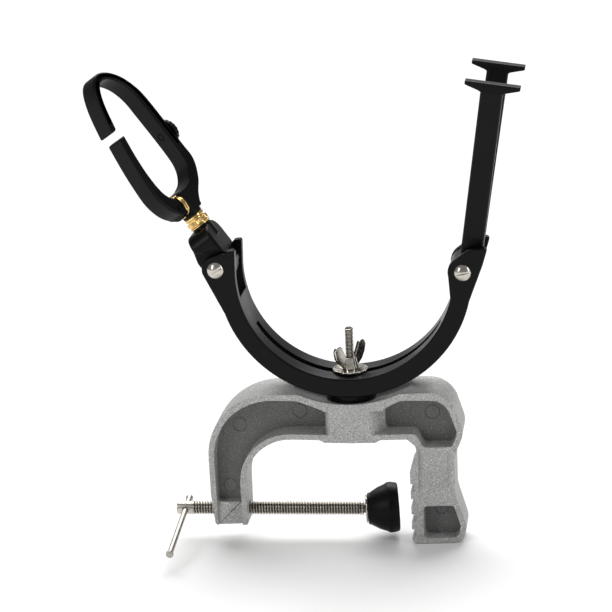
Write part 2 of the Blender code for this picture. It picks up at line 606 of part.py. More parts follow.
def make_stem(brass, steel):
    bore = STEM_PIN_R + GAP
    top, low = BUSH_HALF, -BUSH_HALF
    profile = [(bore, top), (0.0071, top), (0.0075, top - 0.0004), (0.0075, top - 0.0020),
               (0.0068, top - 0.0024), (0.0068, top - 0.0034), (BUSH_R, top - 0.0038),
               (BUSH_R, low + 0.0022), (0.0074, low + 0.0018), (0.0074, low + 0.0014),
               (0.0080, low + 0.0010), (0.0080, low), (bore, low)]
    turned("stem_bushing", profile, STEM, brass, 30, closed=True)
    turned("stem_pin", [(0, STEM_PIN_TOP), (STEM_PIN_R - 0.0005, STEM_PIN_TOP),
                        (STEM_PIN_R, STEM_PIN_TOP - 0.0005), (STEM_PIN_R, STEM_PIN_LOW + 0.0005),
                        (STEM_PIN_R - 0.0005, STEM_PIN_LOW), (0, STEM_PIN_LOW)], STEM, steel, 18)


def hook_outline():
    outer = smooth([(0.0075, 0.0090), (0.0120, 0.0145), (0.0205, 0.0220), (0.0278, 0.0340),
                    (0.0283, 0.0480), (0.0283, 0.0850), (0.0262, 0.0990), (0.0205, 0.1110),
                    (0.0120, 0.1190), (0.0030, 0.1214), (-0.0050, 0.1165), (-0.0125, 0.1030),
                    (-0.0188, HOOK_TIP)])
    inner = smooth([(-0.0136, HOOK_TIP), (-0.0078, 0.1010), (-0.0020, 0.1115), (0.0040, 0.1155),
                    (0.0110, 0.1135), (0.0175, 0.1060), (0.0212, 0.0950), (0.0218, 0.0820),
                    (0.0218, 0.0480), (0.0195, 0.0350), (0.0130, 0.0270), (0.0050, 0.0240)])
    return outer + inner + [(HUB_FACE, 0.0235), (HUB_FACE, 0.0065), (0.0070, 0.0065)]


def make_hook(plastic):
    hook = add_part("ring_hook", prism("ring_hook", hook_outline(), -BAND_HALF, BAND_HALF), RING,
                    plastic)
    soften(hook, 0.0012, 1)
    neck = cylinder("hub_neck", 0.0074, BUSH_HALF + GAP, 0.0103)
    combine(hook, add_tool("hub_neck", neck, RING), 'UNION')
    pivot_face = [(-0.012, 0.0062), (HUB_FACE, 0.0062), (HUB_FACE, 0.030), (-0.012, 0.030)]
    combine(hook, add_tool("pivot_face", prism("pivot_face", pivot_face, -0.02, 0.02), RING))
    stem_hole = cylinder("hub_stem_hole", STEM_PIN_R + GAP, -0.01, STEM_PIN_TOP + GAP, 20)
    combine(hook, add_tool("hub_stem_hole", stem_hole, RING))
    pin_hole = cylinder("hub_pin_hole", GATE_PIN_R + GAP, -0.02, 0.02, 16)
    combine(hook, add_tool("hub_pin_hole", pin_hole, PIVOT))
    spot_face = cylinder("spot_face", 0.0045, GATE_PIN_HEAD - GAP, 0.02, 20)
    combine(hook, add_tool("spot_face", spot_face, PIVOT))
    knob_hole = cylinder("knob_hole", KNOB_SCREW_R + GAP, 0.015, 0.035, 16)
    combine(hook, add_tool("knob_hole", knob_hole, KNOB))


def make_gate(plastic):
    outer = smooth([(-0.0168, GATE_TIP), (-0.0205, 0.0600), (-0.0228, 0.0450), (-0.0238, 0.0300),
                    (-0.0205, 0.0180), (-0.0140, 0.0100)])
    inner = smooth([(-0.0082, 0.0215), (-0.0125, 0.0235), (-0.0160, 0.0310), (-0.0166, 0.0450),
                    (-0.0147, 0.0610), (-0.0113, GATE_TIP)])
    outline = outer + [(-0.0082, 0.0085)] + inner
    gate = add_part("ring_gate", prism("ring_gate", outline, -BAND_HALF, BAND_HALF), RING, plastic)
    soften(gate, 0.0012, 1)
    boss = cylinder("gate_boss", 0.0080, -0.0135, GATE_FACE)
    combine(gate, add_tool("gate_boss", boss, PIVOT), 'UNION')
    face = [(GATE_FACE, 0.001), (-0.002, 0.001), (-0.002, 0.030), (GATE_FACE, 0.030)]
    combine(gate, add_tool("gate_face", prism("gate_face", face, -0.02, 0.02), RING))
    pin_hole = cylinder("gate_pin_hole", GATE_PIN_R + GAP, GATE_PIN_TAIL - GAP, 0.0, 16)
    combine(gate, add_tool("gate_pin_hole", pin_hole, PIVOT))


def make_gate_pivot(brass, steel):
    bore = GATE_PIN_R + GAP
    far, near = HUB_FACE - GAP, GATE_FACE + GAP
    middle = (far + near) / 2
    turned("gate_bushing", [(bore, far), (0.0082, far), (0.0085, far - 0.0004),
                            (0.0085, middle + 0.0005), (0.0079, middle), (0.0085, middle - 0.0005),
                            (0.0085, near + 0.0004), (0.0082, near), (bore, near)],
           PIVOT, brass, 30, closed=True)
    crown = GATE_PIN_HEAD + 0.0024
    turned("gate_pin", [(0, crown), (0.0030, crown), (0.0040, crown - 0.0008),
                        (0.0040, GATE_PIN_HEAD), (GATE_PIN_R, GATE_PIN_HEAD),
                        (GATE_PIN_R, GATE_PIN_TAIL), (0, GATE_PIN_TAIL)], PIVOT, steel, 18)


def make_knob(plastic, steel):
    under = KNOB_FACE - 0.0034
    turned("thumb_knob", [(0, KNOB_FACE), (KNOB_R - 0.0020, KNOB_FACE), (KNOB_R, KNOB_FACE - 0.0011),
                          (KNOB_R, under + 0.0006), (KNOB_R - 0.0006, under),
                          (KNOB_SCREW_R + GAP, under), (KNOB_SCREW_R + GAP, KNOB_FACE - 0.0012),
                          (0, KNOB_FACE - 0.0012)], KNOB, plastic, 24)
    turned("knob_screw", [(0, KNOB_FACE - 0.0015), (KNOB_SCREW_R, KNOB_FACE - 0.0015),
                          (KNOB_SCREW_R, 0.0245), (0, 0.0245)], KNOB, steel, 16)
    turned("pressure_tip", [(0, 0.0242), (KNOB_SCREW_R, 0.0242), (KNOB_SCREW_R, 0.0225),
                            (KNOB_SCREW_R - 0.0006, 0.0219), (0, 0.0219)], KNOB, plastic, 16)


clear_scene()
PARTS = new_collection("clamp_on_cradle_stand")
TOOLS = new_collection("cutting_tools")
cast = finish("cast_aluminium", (0.40, 0.41, 0.40), 0.45, 0.6)
black = finish("black_nylon", (0.012, 0.012, 0.012), 0.42)
nickel = finish("bright_nickel", (0.60, 0.57, 0.52), 0.22, 1.0)
brass_metal = finish("brass", (0.62, 0.40, 0.12), 0.25, 1.0)
soft_rubber = finish("black_rubber", (0.010, 0.010, 0.011), 0.70)

make_clamp(cast)
make_clamp_screw(nickel)
make_tommy_bar(nickel)
make_pad(nickel, soft_rubber)
make_arch(black)
make_seat(black)
make_stud(nickel)
make_wing_nut(nickel)
make_hinge_fasteners(nickel)
make_fork(black)
make_yoke(black)
make_stem(brass_metal, nickel)
make_hook(black)
make_gate(black)
make_gate_pivot(brass_metal, nickel)
make_knob(black, nickel)
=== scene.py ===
"""Looks of the clamp-on cradle stand: casting, cradle, rest, ring, fasteners and studio.

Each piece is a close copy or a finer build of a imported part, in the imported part's own place.
"""
import json
import math

import bpy
from bpy.props import FloatProperty, FloatVectorProperty, IntProperty, PointerProperty
from mathutils import Matrix, Vector


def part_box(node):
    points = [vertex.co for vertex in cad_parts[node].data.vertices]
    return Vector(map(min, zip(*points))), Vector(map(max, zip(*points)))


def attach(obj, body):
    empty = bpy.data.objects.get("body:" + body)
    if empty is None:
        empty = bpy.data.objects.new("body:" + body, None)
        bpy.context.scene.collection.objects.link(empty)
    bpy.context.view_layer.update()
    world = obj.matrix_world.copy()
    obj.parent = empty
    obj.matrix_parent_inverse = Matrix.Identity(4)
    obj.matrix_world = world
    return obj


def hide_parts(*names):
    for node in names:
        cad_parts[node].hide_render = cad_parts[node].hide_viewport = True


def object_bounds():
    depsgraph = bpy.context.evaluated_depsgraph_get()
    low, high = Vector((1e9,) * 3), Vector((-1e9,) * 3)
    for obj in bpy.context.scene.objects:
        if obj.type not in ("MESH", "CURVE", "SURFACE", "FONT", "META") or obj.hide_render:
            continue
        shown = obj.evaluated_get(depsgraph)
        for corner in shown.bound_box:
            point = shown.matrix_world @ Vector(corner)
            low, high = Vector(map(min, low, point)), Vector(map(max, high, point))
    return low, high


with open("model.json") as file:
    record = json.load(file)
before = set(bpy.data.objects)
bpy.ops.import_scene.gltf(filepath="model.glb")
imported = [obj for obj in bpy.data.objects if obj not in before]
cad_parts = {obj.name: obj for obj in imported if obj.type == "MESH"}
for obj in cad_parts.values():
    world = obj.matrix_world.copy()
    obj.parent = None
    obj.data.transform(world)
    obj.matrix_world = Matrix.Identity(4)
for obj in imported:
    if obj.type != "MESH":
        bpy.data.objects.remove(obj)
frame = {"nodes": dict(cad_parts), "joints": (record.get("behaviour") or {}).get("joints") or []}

bl_info = {
    "name": "Clamp-on Cradle Stand",
    "version": (1, 0, 0),
    "blender": (4, 5, 0),
    "location": "View3D > Sidebar > Cradle Stand",
    "description": "Builds the visible pieces of a clamp-on cradle stand round its packed parts",
    "category": "Object",
}

CAD_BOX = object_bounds()
JOINTS = {joint["name"]: joint for joint in frame["joints"]}
GAP = 0.0003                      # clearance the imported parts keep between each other
FINISHES = {}                     # materials by name, filled by mix_finishes


# ---- places ----
def axis_frame(place, along, across=(0, 1, 0)):
    """A frame at a place whose Z points along one direction, with Y near a second one."""
    z = Vector(along).normalized()
    y = Vector(across)
    y = (y - z * y.dot(z)).normalized()
    x = y.cross(z)
    turn = Matrix((x, y, z)).transposed().to_4x4()
    return Matrix.Translation(Vector(place)) @ turn


def joint_frame(name, across=(0, 1, 0), flip=1):
    joint = JOINTS[name]
    return axis_frame(joint["pos_m"], Vector(joint["axis"]) * flip, across)


def turned_frame(degrees, axis):
    return Matrix.Rotation(math.radians(degrees), 4, axis)


SCREW_AXIS = joint_frame("spindle_turn")
BALL_PLACE = JOINTS["pad_tilt"]["pos_m"]
PAD_TURN, PAD_TILT = 8.5, 1.5     # degrees the pad looks to the back and up
BALL = (Matrix.Translation(Vector(BALL_PLACE)) @ turned_frame(PAD_TURN, 'Z')
        @ turned_frame(-PAD_TILT, 'Y') @ turned_frame(90, 'Y'))
BOLT_AXIS = joint_frame("cradle_swivel")
BOLT = Matrix.Translation(Vector((BOLT_AXIS.translation.x, 0, 0)))
ARCH = Matrix.Translation(Vector(JOINTS["cradle_tilt"]["pos_m"]))
LEFT_HINGE = Matrix.Translation(Vector(JOINTS["ring_arm_fold"]["pos_m"]))
RIGHT_HINGE = Matrix.Translation(Vector(JOINTS["fork_fold"]["pos_m"]))
FRONT = Matrix.Rotation(math.radians(90), 4, 'X')     # turns a piece's own Z to the front
STEM = joint_frame("ring_swivel")
PIVOT = joint_frame("gate_swing")
RING = axis_frame(STEM.translation, JOINTS["ring_swivel"]["axis"],
                  Vector(JOINTS["ring_swivel"]["axis"]).cross(Vector(JOINTS["gate_swing"]["axis"])))
KNOB = joint_frame("knob_turn", flip=-1)
RING_HALF = 0.0075                # half width of the ring's band
WING_TURN = 54.0                  # degrees the wings stand from the arch's plane
SLOT_TURNS = {"left": 35.0, "right": 10.0}     # degrees the front heads' slots are turned


# ---- settings ----
def length(name, description, default):
    return FloatProperty(name=name, description=description, default=default, min=0.0,
                         unit='LENGTH', precision=5)


def colour(name, description, default):
    return FloatVectorProperty(name=name, description=description, default=default,
                               subtype='COLOR', size=3, min=0.0, max=1.0)


class CastingSettings(bpy.types.PropertyGroup):
    edge: length("Edge radius", "Radius left on the casting's edges", 0.0005)
    mark_radius: length("Ejector mark radius", "Radius of the round marks in the pockets", 0.0050)
    dark: colour("Dark grain", "Colour of the casting's dark grains", (0.25, 0.255, 0.25))
    light: colour("Light grain", "Colour of the casting's light grains", (0.52, 0.525, 0.51))


class PlasticSettings(bpy.types.PropertyGroup):
    edge: length("Edge radius", "Radius left on moulded edges", 0.0007)
    ring_edge: length("Ring edge radius", "Radius left on the edges of the ring's band", 0.0015)
    groove_half: length("Groove half width", "Half width of the ring's groove", 0.0013)
    groove_depth: length("Groove depth", "Depth of the groove in the ring's side", 0.0042)
    nylon: colour("Nylon", "Colour of the moulded nylon", (0.0022, 0.0022, 0.0024))
    rubber: colour("Rubber", "Colour of the pad", (0.0022, 0.0022, 0.0025))


class FastenerSettings(bpy.types.PropertyGroup):
    feed_pitch: length("Clamp screw pitch", "Feed of the clamp screw in one turn", 0.0020)
    bolt_pitch: length("Cradle bolt pitch", "Feed of the wing nut in one turn", 0.0010)
    knurls: IntProperty(name="Knurls", description="Ridges round the brass bushing", default=44,
                        min=8)
    nickel: colour("Nickel", "Colour of the plated fasteners", (0.56, 0.53, 0.475))
    brass: colour("Brass", "Colour of the bushings", (0.78, 0.55, 0.22))


class StudioSettings(bpy.types.PropertyGroup):
    azimuth: FloatProperty(name="Azimuth", description="Camera's angle round the stand",
                           default=math.radians(8.0), unit='ROTATION')
    elevation: FloatProperty(name="Elevation", description="Camera's angle above level",
                             default=math.radians(15.5), unit='ROTATION')
    roll: FloatProperty(name="Roll", description="Camera's turn about its own line of sight",
                        default=math.radians(-2.6), unit='ROTATION')
    distance: length("Distance", "From the camera to the middle of the view", 1.65)
    lens: FloatProperty(name="Lens", description="Focal length in millimetres", default=138.6)
    floor: colour("Floor", "Colour of the floor", (0.93, 0.93, 0.925))


def settings(group):
    return getattr(bpy.context.scene, f"cradle_stand_{group}")


# ---- bench tools ----
def put_down():
    """Leaves edit mode with nothing selected."""
    if bpy.context.object and bpy.context.object.mode != 'OBJECT':
        bpy.ops.object.mode_set(mode='OBJECT')
    bpy.ops.object.select_all(action='DESELECT')


def pick_up(piece):
    put_down()
    piece.select_set(True)
    bpy.context.view_layer.objects.active = piece


def edit(piece):
    pick_up(piece)
    bpy.ops.object.mode_set(mode='EDIT')
    bpy.ops.mesh.select_mode(type='FACE')
    bpy.ops.mesh.select_all(action='SELECT')


def name_piece(name):
    piece = bpy.context.active_object
    piece.name = name
    piece.data.name = name
    return piece


def place(piece, where):
    """Moves a piece into a frame and leaves its object at the origin."""
    piece.matrix_world = where
    pick_up(piece)
    bpy.ops.object.transform_apply(location=True, rotation=True, scale=True)


def draw_line(name, points):
    """A chain of edges through the points, drawn from one corner of a small plane."""
    put_down()
    bpy.ops.mesh.primitive_plane_add(size=0.001, location=(0, 0, 0))
    piece = name_piece(name)
    bpy.ops.object.mode_set(mode='EDIT')
    bpy.ops.mesh.select_mode(type='VERT')
    bpy.ops.mesh.select_all(action='SELECT')
    bpy.ops.mesh.merge(type='CENTER')
    bpy.ops.mesh.select_all(action='SELECT')
    here = Vector(points[0])
    bpy.ops.transform.translate(value=here)
    for point in points[1:]:
        step = Vector(point) - here
        bpy.ops.mesh.extrude_vertices_move(TRANSFORM_OT_translate={"value": step})
        here = Vector(point)
    return piece


def close_up():
    """Merges what meets and turns the faces outwards."""
    bpy.ops.mesh.select_all(action='SELECT')
    bpy.ops.mesh.remove_doubles(threshold=1e-6)
    bpy.ops.mesh.normals_make_consistent(inside=False)
    put_down()


def turned(name, profile, where, steps=64):
    """A turned piece. The (radius, height) profile runs round one side of it."""
    piece = draw_line(name, [(radius, 0, height) for radius, height in profile])
    bpy.ops.mesh.select_all(action='SELECT')
    bpy.ops.mesh.spin(steps=steps, angle=math.tau, center=(0, 0, 0), axis=(0, 0, 1))
    close_up()
    place(piece, where)
    return piece


def ring_turned(name, profile, where, steps=64):
    return turned(name, profile + profile[:1], where, steps)


def plate(name, outline, low, high, where):
    """A flat piece with an outline of (x, z) points, from y = low to y = high."""
    piece = draw_line(name, [(x, low, z) for x, z in outline])
    bpy.ops.mesh.select_all(action='SELECT')
    bpy.ops.mesh.edge_face_add()
    bpy.ops.mesh.select_mode(type='FACE')
    bpy.ops.mesh.select_all(action='SELECT')
    bpy.ops.mesh.extrude_region_move(TRANSFORM_OT_translate={"value": (0, high - low, 0)})
    close_up()
    place(piece, where)
    return piece


def rod(name, radius, low, high, where, sides=48):
    """A plain round bar about its frame's Z, mostly for cutting."""
    put_down()
    bpy.ops.mesh.primitive_cylinder_add(vertices=sides, radius=radius, depth=high - low,
                                        location=(0, 0, (low + high) / 2))
    piece = name_piece(name)
    place(piece, where @ Matrix.Translation((0, 0, (low + high) / 2)))
    return piece


def apply_last(piece):
    pick_up(piece)
    bpy.ops.object.modifier_apply(modifier=piece.modifiers[-1].name)


def combine(piece, tool, operation='DIFFERENCE'):
    step = piece.modifiers.new("cut", 'BOOLEAN')
    step.operation = operation
    step.solver = 'EXACT'
    step.object = tool
    apply_last(piece)
    bpy.data.objects.remove(tool)


def flatten(piece, degrees=0.6):
    """Takes away the edges that cross flat faces."""
    edit(piece)
    bpy.ops.mesh.dissolve_limited(angle_limit=math.radians(degrees))
    put_down()


def soften(piece, width, segments=3, degrees=32.0, clamp=True):
    bevel = piece.modifiers.new("soft edges", 'BEVEL')
    bevel.width = width
    bevel.segments = segments
    bevel.limit_method = 'ANGLE'
    bevel.angle_limit = math.radians(degrees)
    bevel.use_clamp_overlap = clamp
    apply_last(piece)


def polish(piece, degrees=40.0):
    """Smooth shading that keeps flat faces flat."""
    pick_up(piece)
    bpy.ops.object.shade_smooth_by_angle(angle=math.radians(degrees))
    weights = piece.modifiers.new("flat faces", 'WEIGHTED_NORMAL')
    weights.keep_sharp = True
    weights.weight = 60
    apply_last(piece)


def join(piece, others):
    pick_up(piece)
    for other in others:
        other.select_set(True)
    bpy.ops.object.join()


def packed_copy(name, node, plain=True):
    """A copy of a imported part, merged and, if asked, freed of edges across its flat faces."""
    piece = frame["nodes"][node].copy()
    piece.data = frame["nodes"][node].data.copy()
    for key in list(piece.keys()):
        del piece[key]
    piece.parent = None
    piece.matrix_world = Matrix.Identity(4)
    piece.name = name
    piece.data.name = name
    bpy.context.scene.collection.objects.link(piece)
    edit(piece)
    bpy.ops.mesh.customdata_custom_splitnormals_clear()
    bpy.ops.mesh.remove_doubles(threshold=2e-6)
    put_down()
    if plain:
        flatten(piece)
    return piece


def hand_over(piece, finish, body, slot, *nodes):
    """Gives a finished piece its material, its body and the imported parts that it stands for."""
    if not piece.data.polygons:
        raise RuntimeError(f"{piece.name} has no faces")
    piece.data.materials.clear()
    piece.data.materials.append(FINISHES[finish])
    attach(piece, body)
    if nodes:
        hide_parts(*nodes)


def arc(centre, radius, start, end, step=4.0):
    """Points along a circle between two angles in degrees, or the one point where they agree."""
    if start == end:
        angle = math.radians(start)
        return [(centre[0] + radius * math.cos(angle), centre[1] + radius * math.sin(angle))]
    count = max(1, math.ceil(abs(end - start) / step))
    angles = [math.radians(start + (end - start) * i / count) for i in range(count + 1)]
    return [(centre[0] + radius * math.cos(a), centre[1] + radius * math.sin(a)) for a in angles]


def threaded(name, major, minor, pitch, low, high, where, steps=28):
    """A threaded bar about its frame's Z: one pitch of profile, wound up and cut square."""
    turns = math.ceil((high - low) / pitch) + 2
    start = low - pitch
    profile = [(minor, 0, start), (major, 0, start + pitch * 0.34),
               (major, 0, start + pitch * 0.50), (minor, 0, start + pitch * 0.86),
               (minor, 0, start + pitch)]
    piece = draw_line(name, profile)
    put_down()
    winding = piece.modifiers.new("winding", 'SCREW')
    winding.axis = 'Z'
    winding.steps = steps
    winding.render_steps = steps
    winding.screw_offset = pitch
    winding.iterations = turns
    winding.use_merge_vertices = True
    winding.merge_threshold = 1e-6
    apply_last(piece)
    for height, outer in ((low, False), (high, True)):
        edit(piece)
        bpy.ops.mesh.bisect(plane_co=(0, 0, height), plane_no=(0, 0, 1), use_fill=True,
                            clear_inner=not outer, clear_outer=outer)
    close_up()
    place(piece, where)
    return piece


# ---- finishes ----
class Finish:
    """A material with a Principled shader and a few helpers for procedural detail."""

    def __init__(self, name, base, roughness, metallic=0.0, specular=0.5):
        self.material = bpy.data.materials.new(name)
        self.material.use_nodes = True
        self.tree = self.material.node_tree
        self.shader = self.tree.nodes["Principled BSDF"]
        self.shader.inputs["Base Color"].default_value = (*base, 1.0)
        self.shader.inputs["Roughness"].default_value = roughness
        self.shader.inputs["Metallic"].default_value = metallic
        self.shader.inputs["Specular IOR Level"].default_value = specular
        coordinates = self.tree.nodes.new("ShaderNodeTexCoord")
        self.place = coordinates.outputs["Object"]
        self.normal = coordinates.outputs["Normal"]

    def link(self, source, target):
        self.tree.links.new(source, target)

    def measure(self, operation, first, second=None):
        node = self.tree.nodes.new("ShaderNodeMath")
        node.operation = operation
        self.link(first, node.inputs[0])
        if isinstance(second, float):
            node.inputs[1].default_value = second
        elif second:
            self.link(second, node.inputs[1])
        return node.outputs["Value"]

    def noise(self, scale, detail=2.0, roughness=0.5, stretch=None):
        node = self.tree.nodes.new("ShaderNodeTexNoise")
        node.inputs["Scale"].default_value = scale
        node.inputs["Detail"].default_value = detail
        node.inputs["Roughness"].default_value = roughness
        source = self.place
        if stretch:
            mapping = self.tree.nodes.new("ShaderNodeMapping")
            mapping.inputs["Scale"].default_value = stretch
            self.link(self.place, mapping.inputs["Vector"])
            source = mapping.outputs["Vector"]
        self.link(source, node.inputs["Vector"])
        return node.outputs["Fac"]

    def flakes(self, scale):
        node = self.tree.nodes.new("ShaderNodeTexVoronoi")
        node.inputs["Scale"].default_value = scale
        self.link(self.place, node.inputs["Vector"])
        split = self.tree.nodes.new("ShaderNodeSeparateColor")
        self.link(node.outputs["Color"], split.inputs["Color"])
        return split.outputs["Red"]

    def ramp(self, value, stops):
        node = self.tree.nodes.new("ShaderNodeValToRGB")
        node.color_ramp.elements[0].position = stops[0][0]
        node.color_ramp.elements[0].color = (*stops[0][1], 1.0)
        node.color_ramp.elements[1].position = stops[-1][0]
        node.color_ramp.elements[1].color = (*stops[-1][1], 1.0)
        for position, value_colour in stops[1:-1]:
            element = node.color_ramp.elements.new(position)
            element.color = (*value_colour, 1.0)
        self.link(value, node.inputs["Fac"])
        return node.outputs["Color"]

    def span(self, value, low, high):
        node = self.tree.nodes.new("ShaderNodeMapRange")
        node.inputs["From Min"].default_value = 0.3
        node.inputs["From Max"].default_value = 0.7
        node.inputs["To Min"].default_value = low
        node.inputs["To Max"].default_value = high
        self.link(value, node.inputs["Value"])
        return node.outputs["Result"]

    def blend(self, factor, first, second, mode='MIX'):
        node = self.tree.nodes.new("ShaderNodeMix")
        node.data_type = 'RGBA'
        node.blend_type = mode
        self.link(factor, node.inputs["Factor"])
        self.link(first, node.inputs["A"])
        if isinstance(second, tuple):
            node.inputs["B"].default_value = (*second, 1.0)
        else:
            self.link(second, node.inputs["B"])
        return node.outputs["Result"]

    def roughen(self, value, low, high):
        self.link(self.span(value, low, high), self.shader.inputs["Roughness"])

    def relief(self, value, strength, height):
        bump = self.tree.nodes.new("ShaderNodeBump")
        bump.inputs["Strength"].default_value = strength
        bump.inputs["Distance"].default_value = height
        self.link(value, bump.inputs["Height"])
        self.link(bump.outputs["Normal"], self.shader.inputs["Normal"])


def pocket_shade_mask(finish):
    """Mask for painted shade: 1 on the thin web at the bottom of the pockets, 0 on every outer
    face.
    """
    depth = finish.tree.nodes.new("ShaderNodeSeparateXYZ")
    finish.link(finish.place, depth.inputs["Vector"])
    facing = finish.tree.nodes.new("ShaderNodeSeparateXYZ")
    finish.link(finish.normal, facing.inputs["Vector"])
    web_reach, square_on = 0.0045, 0.7
    near = finish.measure('ABSOLUTE', depth.outputs["Y"])
    near = finish.measure('LESS_THAN', near, web_reach)
    flat = finish.measure('ABSOLUTE', facing.outputs["Y"])
    flat = finish.measure('GREATER_THAN', flat, square_on)
    return finish.measure('MULTIPLY', near, flat)


def grainy_aluminium():
    casting = settings("casting")
    finish = Finish("grainy_aluminium", casting.dark, 0.5, metallic=0.25, specular=0.35)
    grain = finish.noise(1150.0, detail=3.0, roughness=0.65)
    base = finish.ramp(grain, [(0.36, tuple(casting.dark)), (0.64, tuple(casting.light))])
    cloud = finish.noise(60.0, detail=3.0)
    shade = finish.ramp(cloud, [(0.3, (0.90, 0.90, 0.90)), (0.7, (1.0, 1.0, 1.0))])
    base = finish.blend(grain, base, shade, 'MULTIPLY')
    fleck = finish.ramp(finish.flakes(2100.0), [(0.92, (0, 0, 0)), (0.98, (1, 1, 1))])
    base = finish.blend(fleck, base, (0.72, 0.72, 0.71))
    # painted shade: the pocket webs are darkened to stand in for the shadow of the rims above them
    base = finish.blend(pocket_shade_mask(finish), base, (0.36, 0.365, 0.36), 'MULTIPLY')
    finish.link(base, finish.shader.inputs["Base Color"])
    finish.roughen(grain, 0.66, 0.46)
    finish.relief(grain, 0.30, 0.00010)
    return finish.material


def moulded(name, base, low, high, specular, grain_scale=1500.0):
    finish = Finish(name, base, high, specular=specular)
    haze = finish.noise(45.0, detail=4.0, roughness=0.6)
    lighter = tuple(channel * 1.8 for channel in base)
    finish.link(finish.ramp(haze, [(0.35, tuple(base)), (0.75, lighter)]),
                finish.shader.inputs["Base Color"])
    finish.roughen(haze, low, high)
    finish.relief(finish.noise(grain_scale, detail=2.0), 0.10, 0.00008)
    return finish.material


def plated(name, base, low, high, stretch=None, relief=0.04):
    finish = Finish(name, base, low, metallic=1.0)
    streak = finish.noise(320.0, detail=3.0, roughness=0.6, stretch=stretch)
    darker = tuple(channel * 0.82 for channel in base)
    finish.link(finish.ramp(streak, [(0.3, darker), (0.7, tuple(base))]),
                finish.shader.inputs["Base Color"])
    finish.roughen(streak, low, high)
    finish.relief(streak, relief, 0.00006)
    return finish.material


def thread_root_shade_plating(name, base, centre, across, root, crest):
    """Plating with painted shade in the roots of a thread.

    The distance from the thread's axis is measured only along the directions across it."""
    finish = Finish(name, base, 0.2, metallic=1.0)
    offset = finish.tree.nodes.new("ShaderNodeVectorMath")
    offset.operation = 'SUBTRACT'
    offset.inputs[1].default_value = centre
    finish.link(finish.place, offset.inputs[0])
    flat = finish.tree.nodes.new("ShaderNodeVectorMath")
    flat.operation = 'MULTIPLY'
    flat.inputs[1].default_value = across
    finish.link(offset.outputs["Vector"], flat.inputs[0])
    distance = finish.tree.nodes.new("ShaderNodeVectorMath")
    distance.operation = 'LENGTH'
    finish.link(flat.outputs["Vector"], distance.inputs[0])
    depth = finish.tree.nodes.new("ShaderNodeMapRange")
    depth.inputs["From Min"].default_value = root
    depth.inputs["From Max"].default_value = crest
    finish.link(distance.outputs["Value"], depth.inputs["Value"])
    # painted shade: the thread's roots are darkened to 0.22 of the plating's colour
    dark = tuple(channel * 0.22 for channel in base)
    finish.link(finish.ramp(depth.outputs["Result"], [(0.0, dark), (1.0, tuple(base))]),
                finish.shader.inputs["Base Color"])
    finish.roughen(finish.noise(400.0), 0.18, 0.32)
    return finish.material


def mix_finishes():
    fasteners = settings("fasteners")
    plastic = settings("plastic")
    nickel = tuple(fasteners.nickel)
    FINISHES["casting"] = grainy_aluminium()
    FINISHES["nylon"] = moulded("satin_nylon", tuple(plastic.nylon), 0.26, 0.40, 0.12)
    FINISHES["rubber"] = moulded("pad_rubber", tuple(plastic.rubber), 0.34, 0.46, 0.11, 900.0)
    FINISHES["nickel"] = plated("bright_nickel", nickel, 0.12, 0.24)
    # the clamp screw's and the stud's plating carry painted shade in their thread roots
    FINISHES["screw"] = thread_root_shade_plating("clamp_screw_root_shade_plate", nickel, SCREW_AXIS.translation,
                                        (0, 1, 1), 0.0041, 0.0048)
    FINISHES["stud"] = thread_root_shade_plating("stud_root_shade_plate", nickel, BOLT.translation, (1, 1, 0),
                                       0.0024, 0.0029)
    FINISHES["thread"] = plated("rolled_thread", tuple(c * 0.86 for c in nickel), 0.20, 0.34)
    FINISHES["satin"] = plated("satin_steel", tuple(c * 0.80 for c in nickel), 0.28, 0.42,
                               stretch=(1.0, 0.12, 1.0))
    FINISHES["brass"] = plated("turned_brass", tuple(fasteners.brass), 0.14, 0.28)


# ---- casting ----
def build_casting():
    """The C-clamp's casting, with its screw boss let in and round marks in its pockets."""
    own = settings("casting")
    casting = packed_copy("clamp_casting", "clamp_frame", plain=False)
    leg_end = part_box("clamp_frame")[0].x
    leg_out, leg_in, rim, foot = leg_end, -0.117, 0.0042, -0.0135
    block_top, block_half = 0.004, 0.0092
    for side in (-1, 1):
        outline = [(leg_out + rim, foot - 0.01), (leg_in - rim, foot - 0.01),
                   (leg_in - rim, block_top + 0.002), (leg_out + rim, block_top + 0.002)]
        near, far = sorted((side * block_half, side * 0.03))
        combine(casting, plate("boss_recess", outline, near, far, Matrix.Identity(4)))
    edit(casting)
    bpy.ops.mesh.remove_doubles(threshold=0.00005)
    put_down()
    soften(casting, own.edge, 2, clamp=False)
    web = 0.0026
    marks = ((-0.121, 0.060), (-0.130, 0.014), (-0.0775, 0.070), (0.016, 0.069), (0.0205, -0.0016))
    for x, z in marks:
        for side in (-1, 1):
            across = Matrix.Translation((x, side * web, z)) @ turned_frame(-90 * side, 'X')
            radius = own.mark_radius
            cutter = ring_turned("mark", [(radius - 0.0004, -0.0007), (radius + 0.0004, -0.0007),
                                          (radius + 0.0004, 0.0010), (radius - 0.0004, 0.0010)],
                                 across, 40)
            combine(casting, cutter)
    polish(casting)
    hand_over(casting, "casting", "clamp", "cast_aluminium", "clamp_frame")


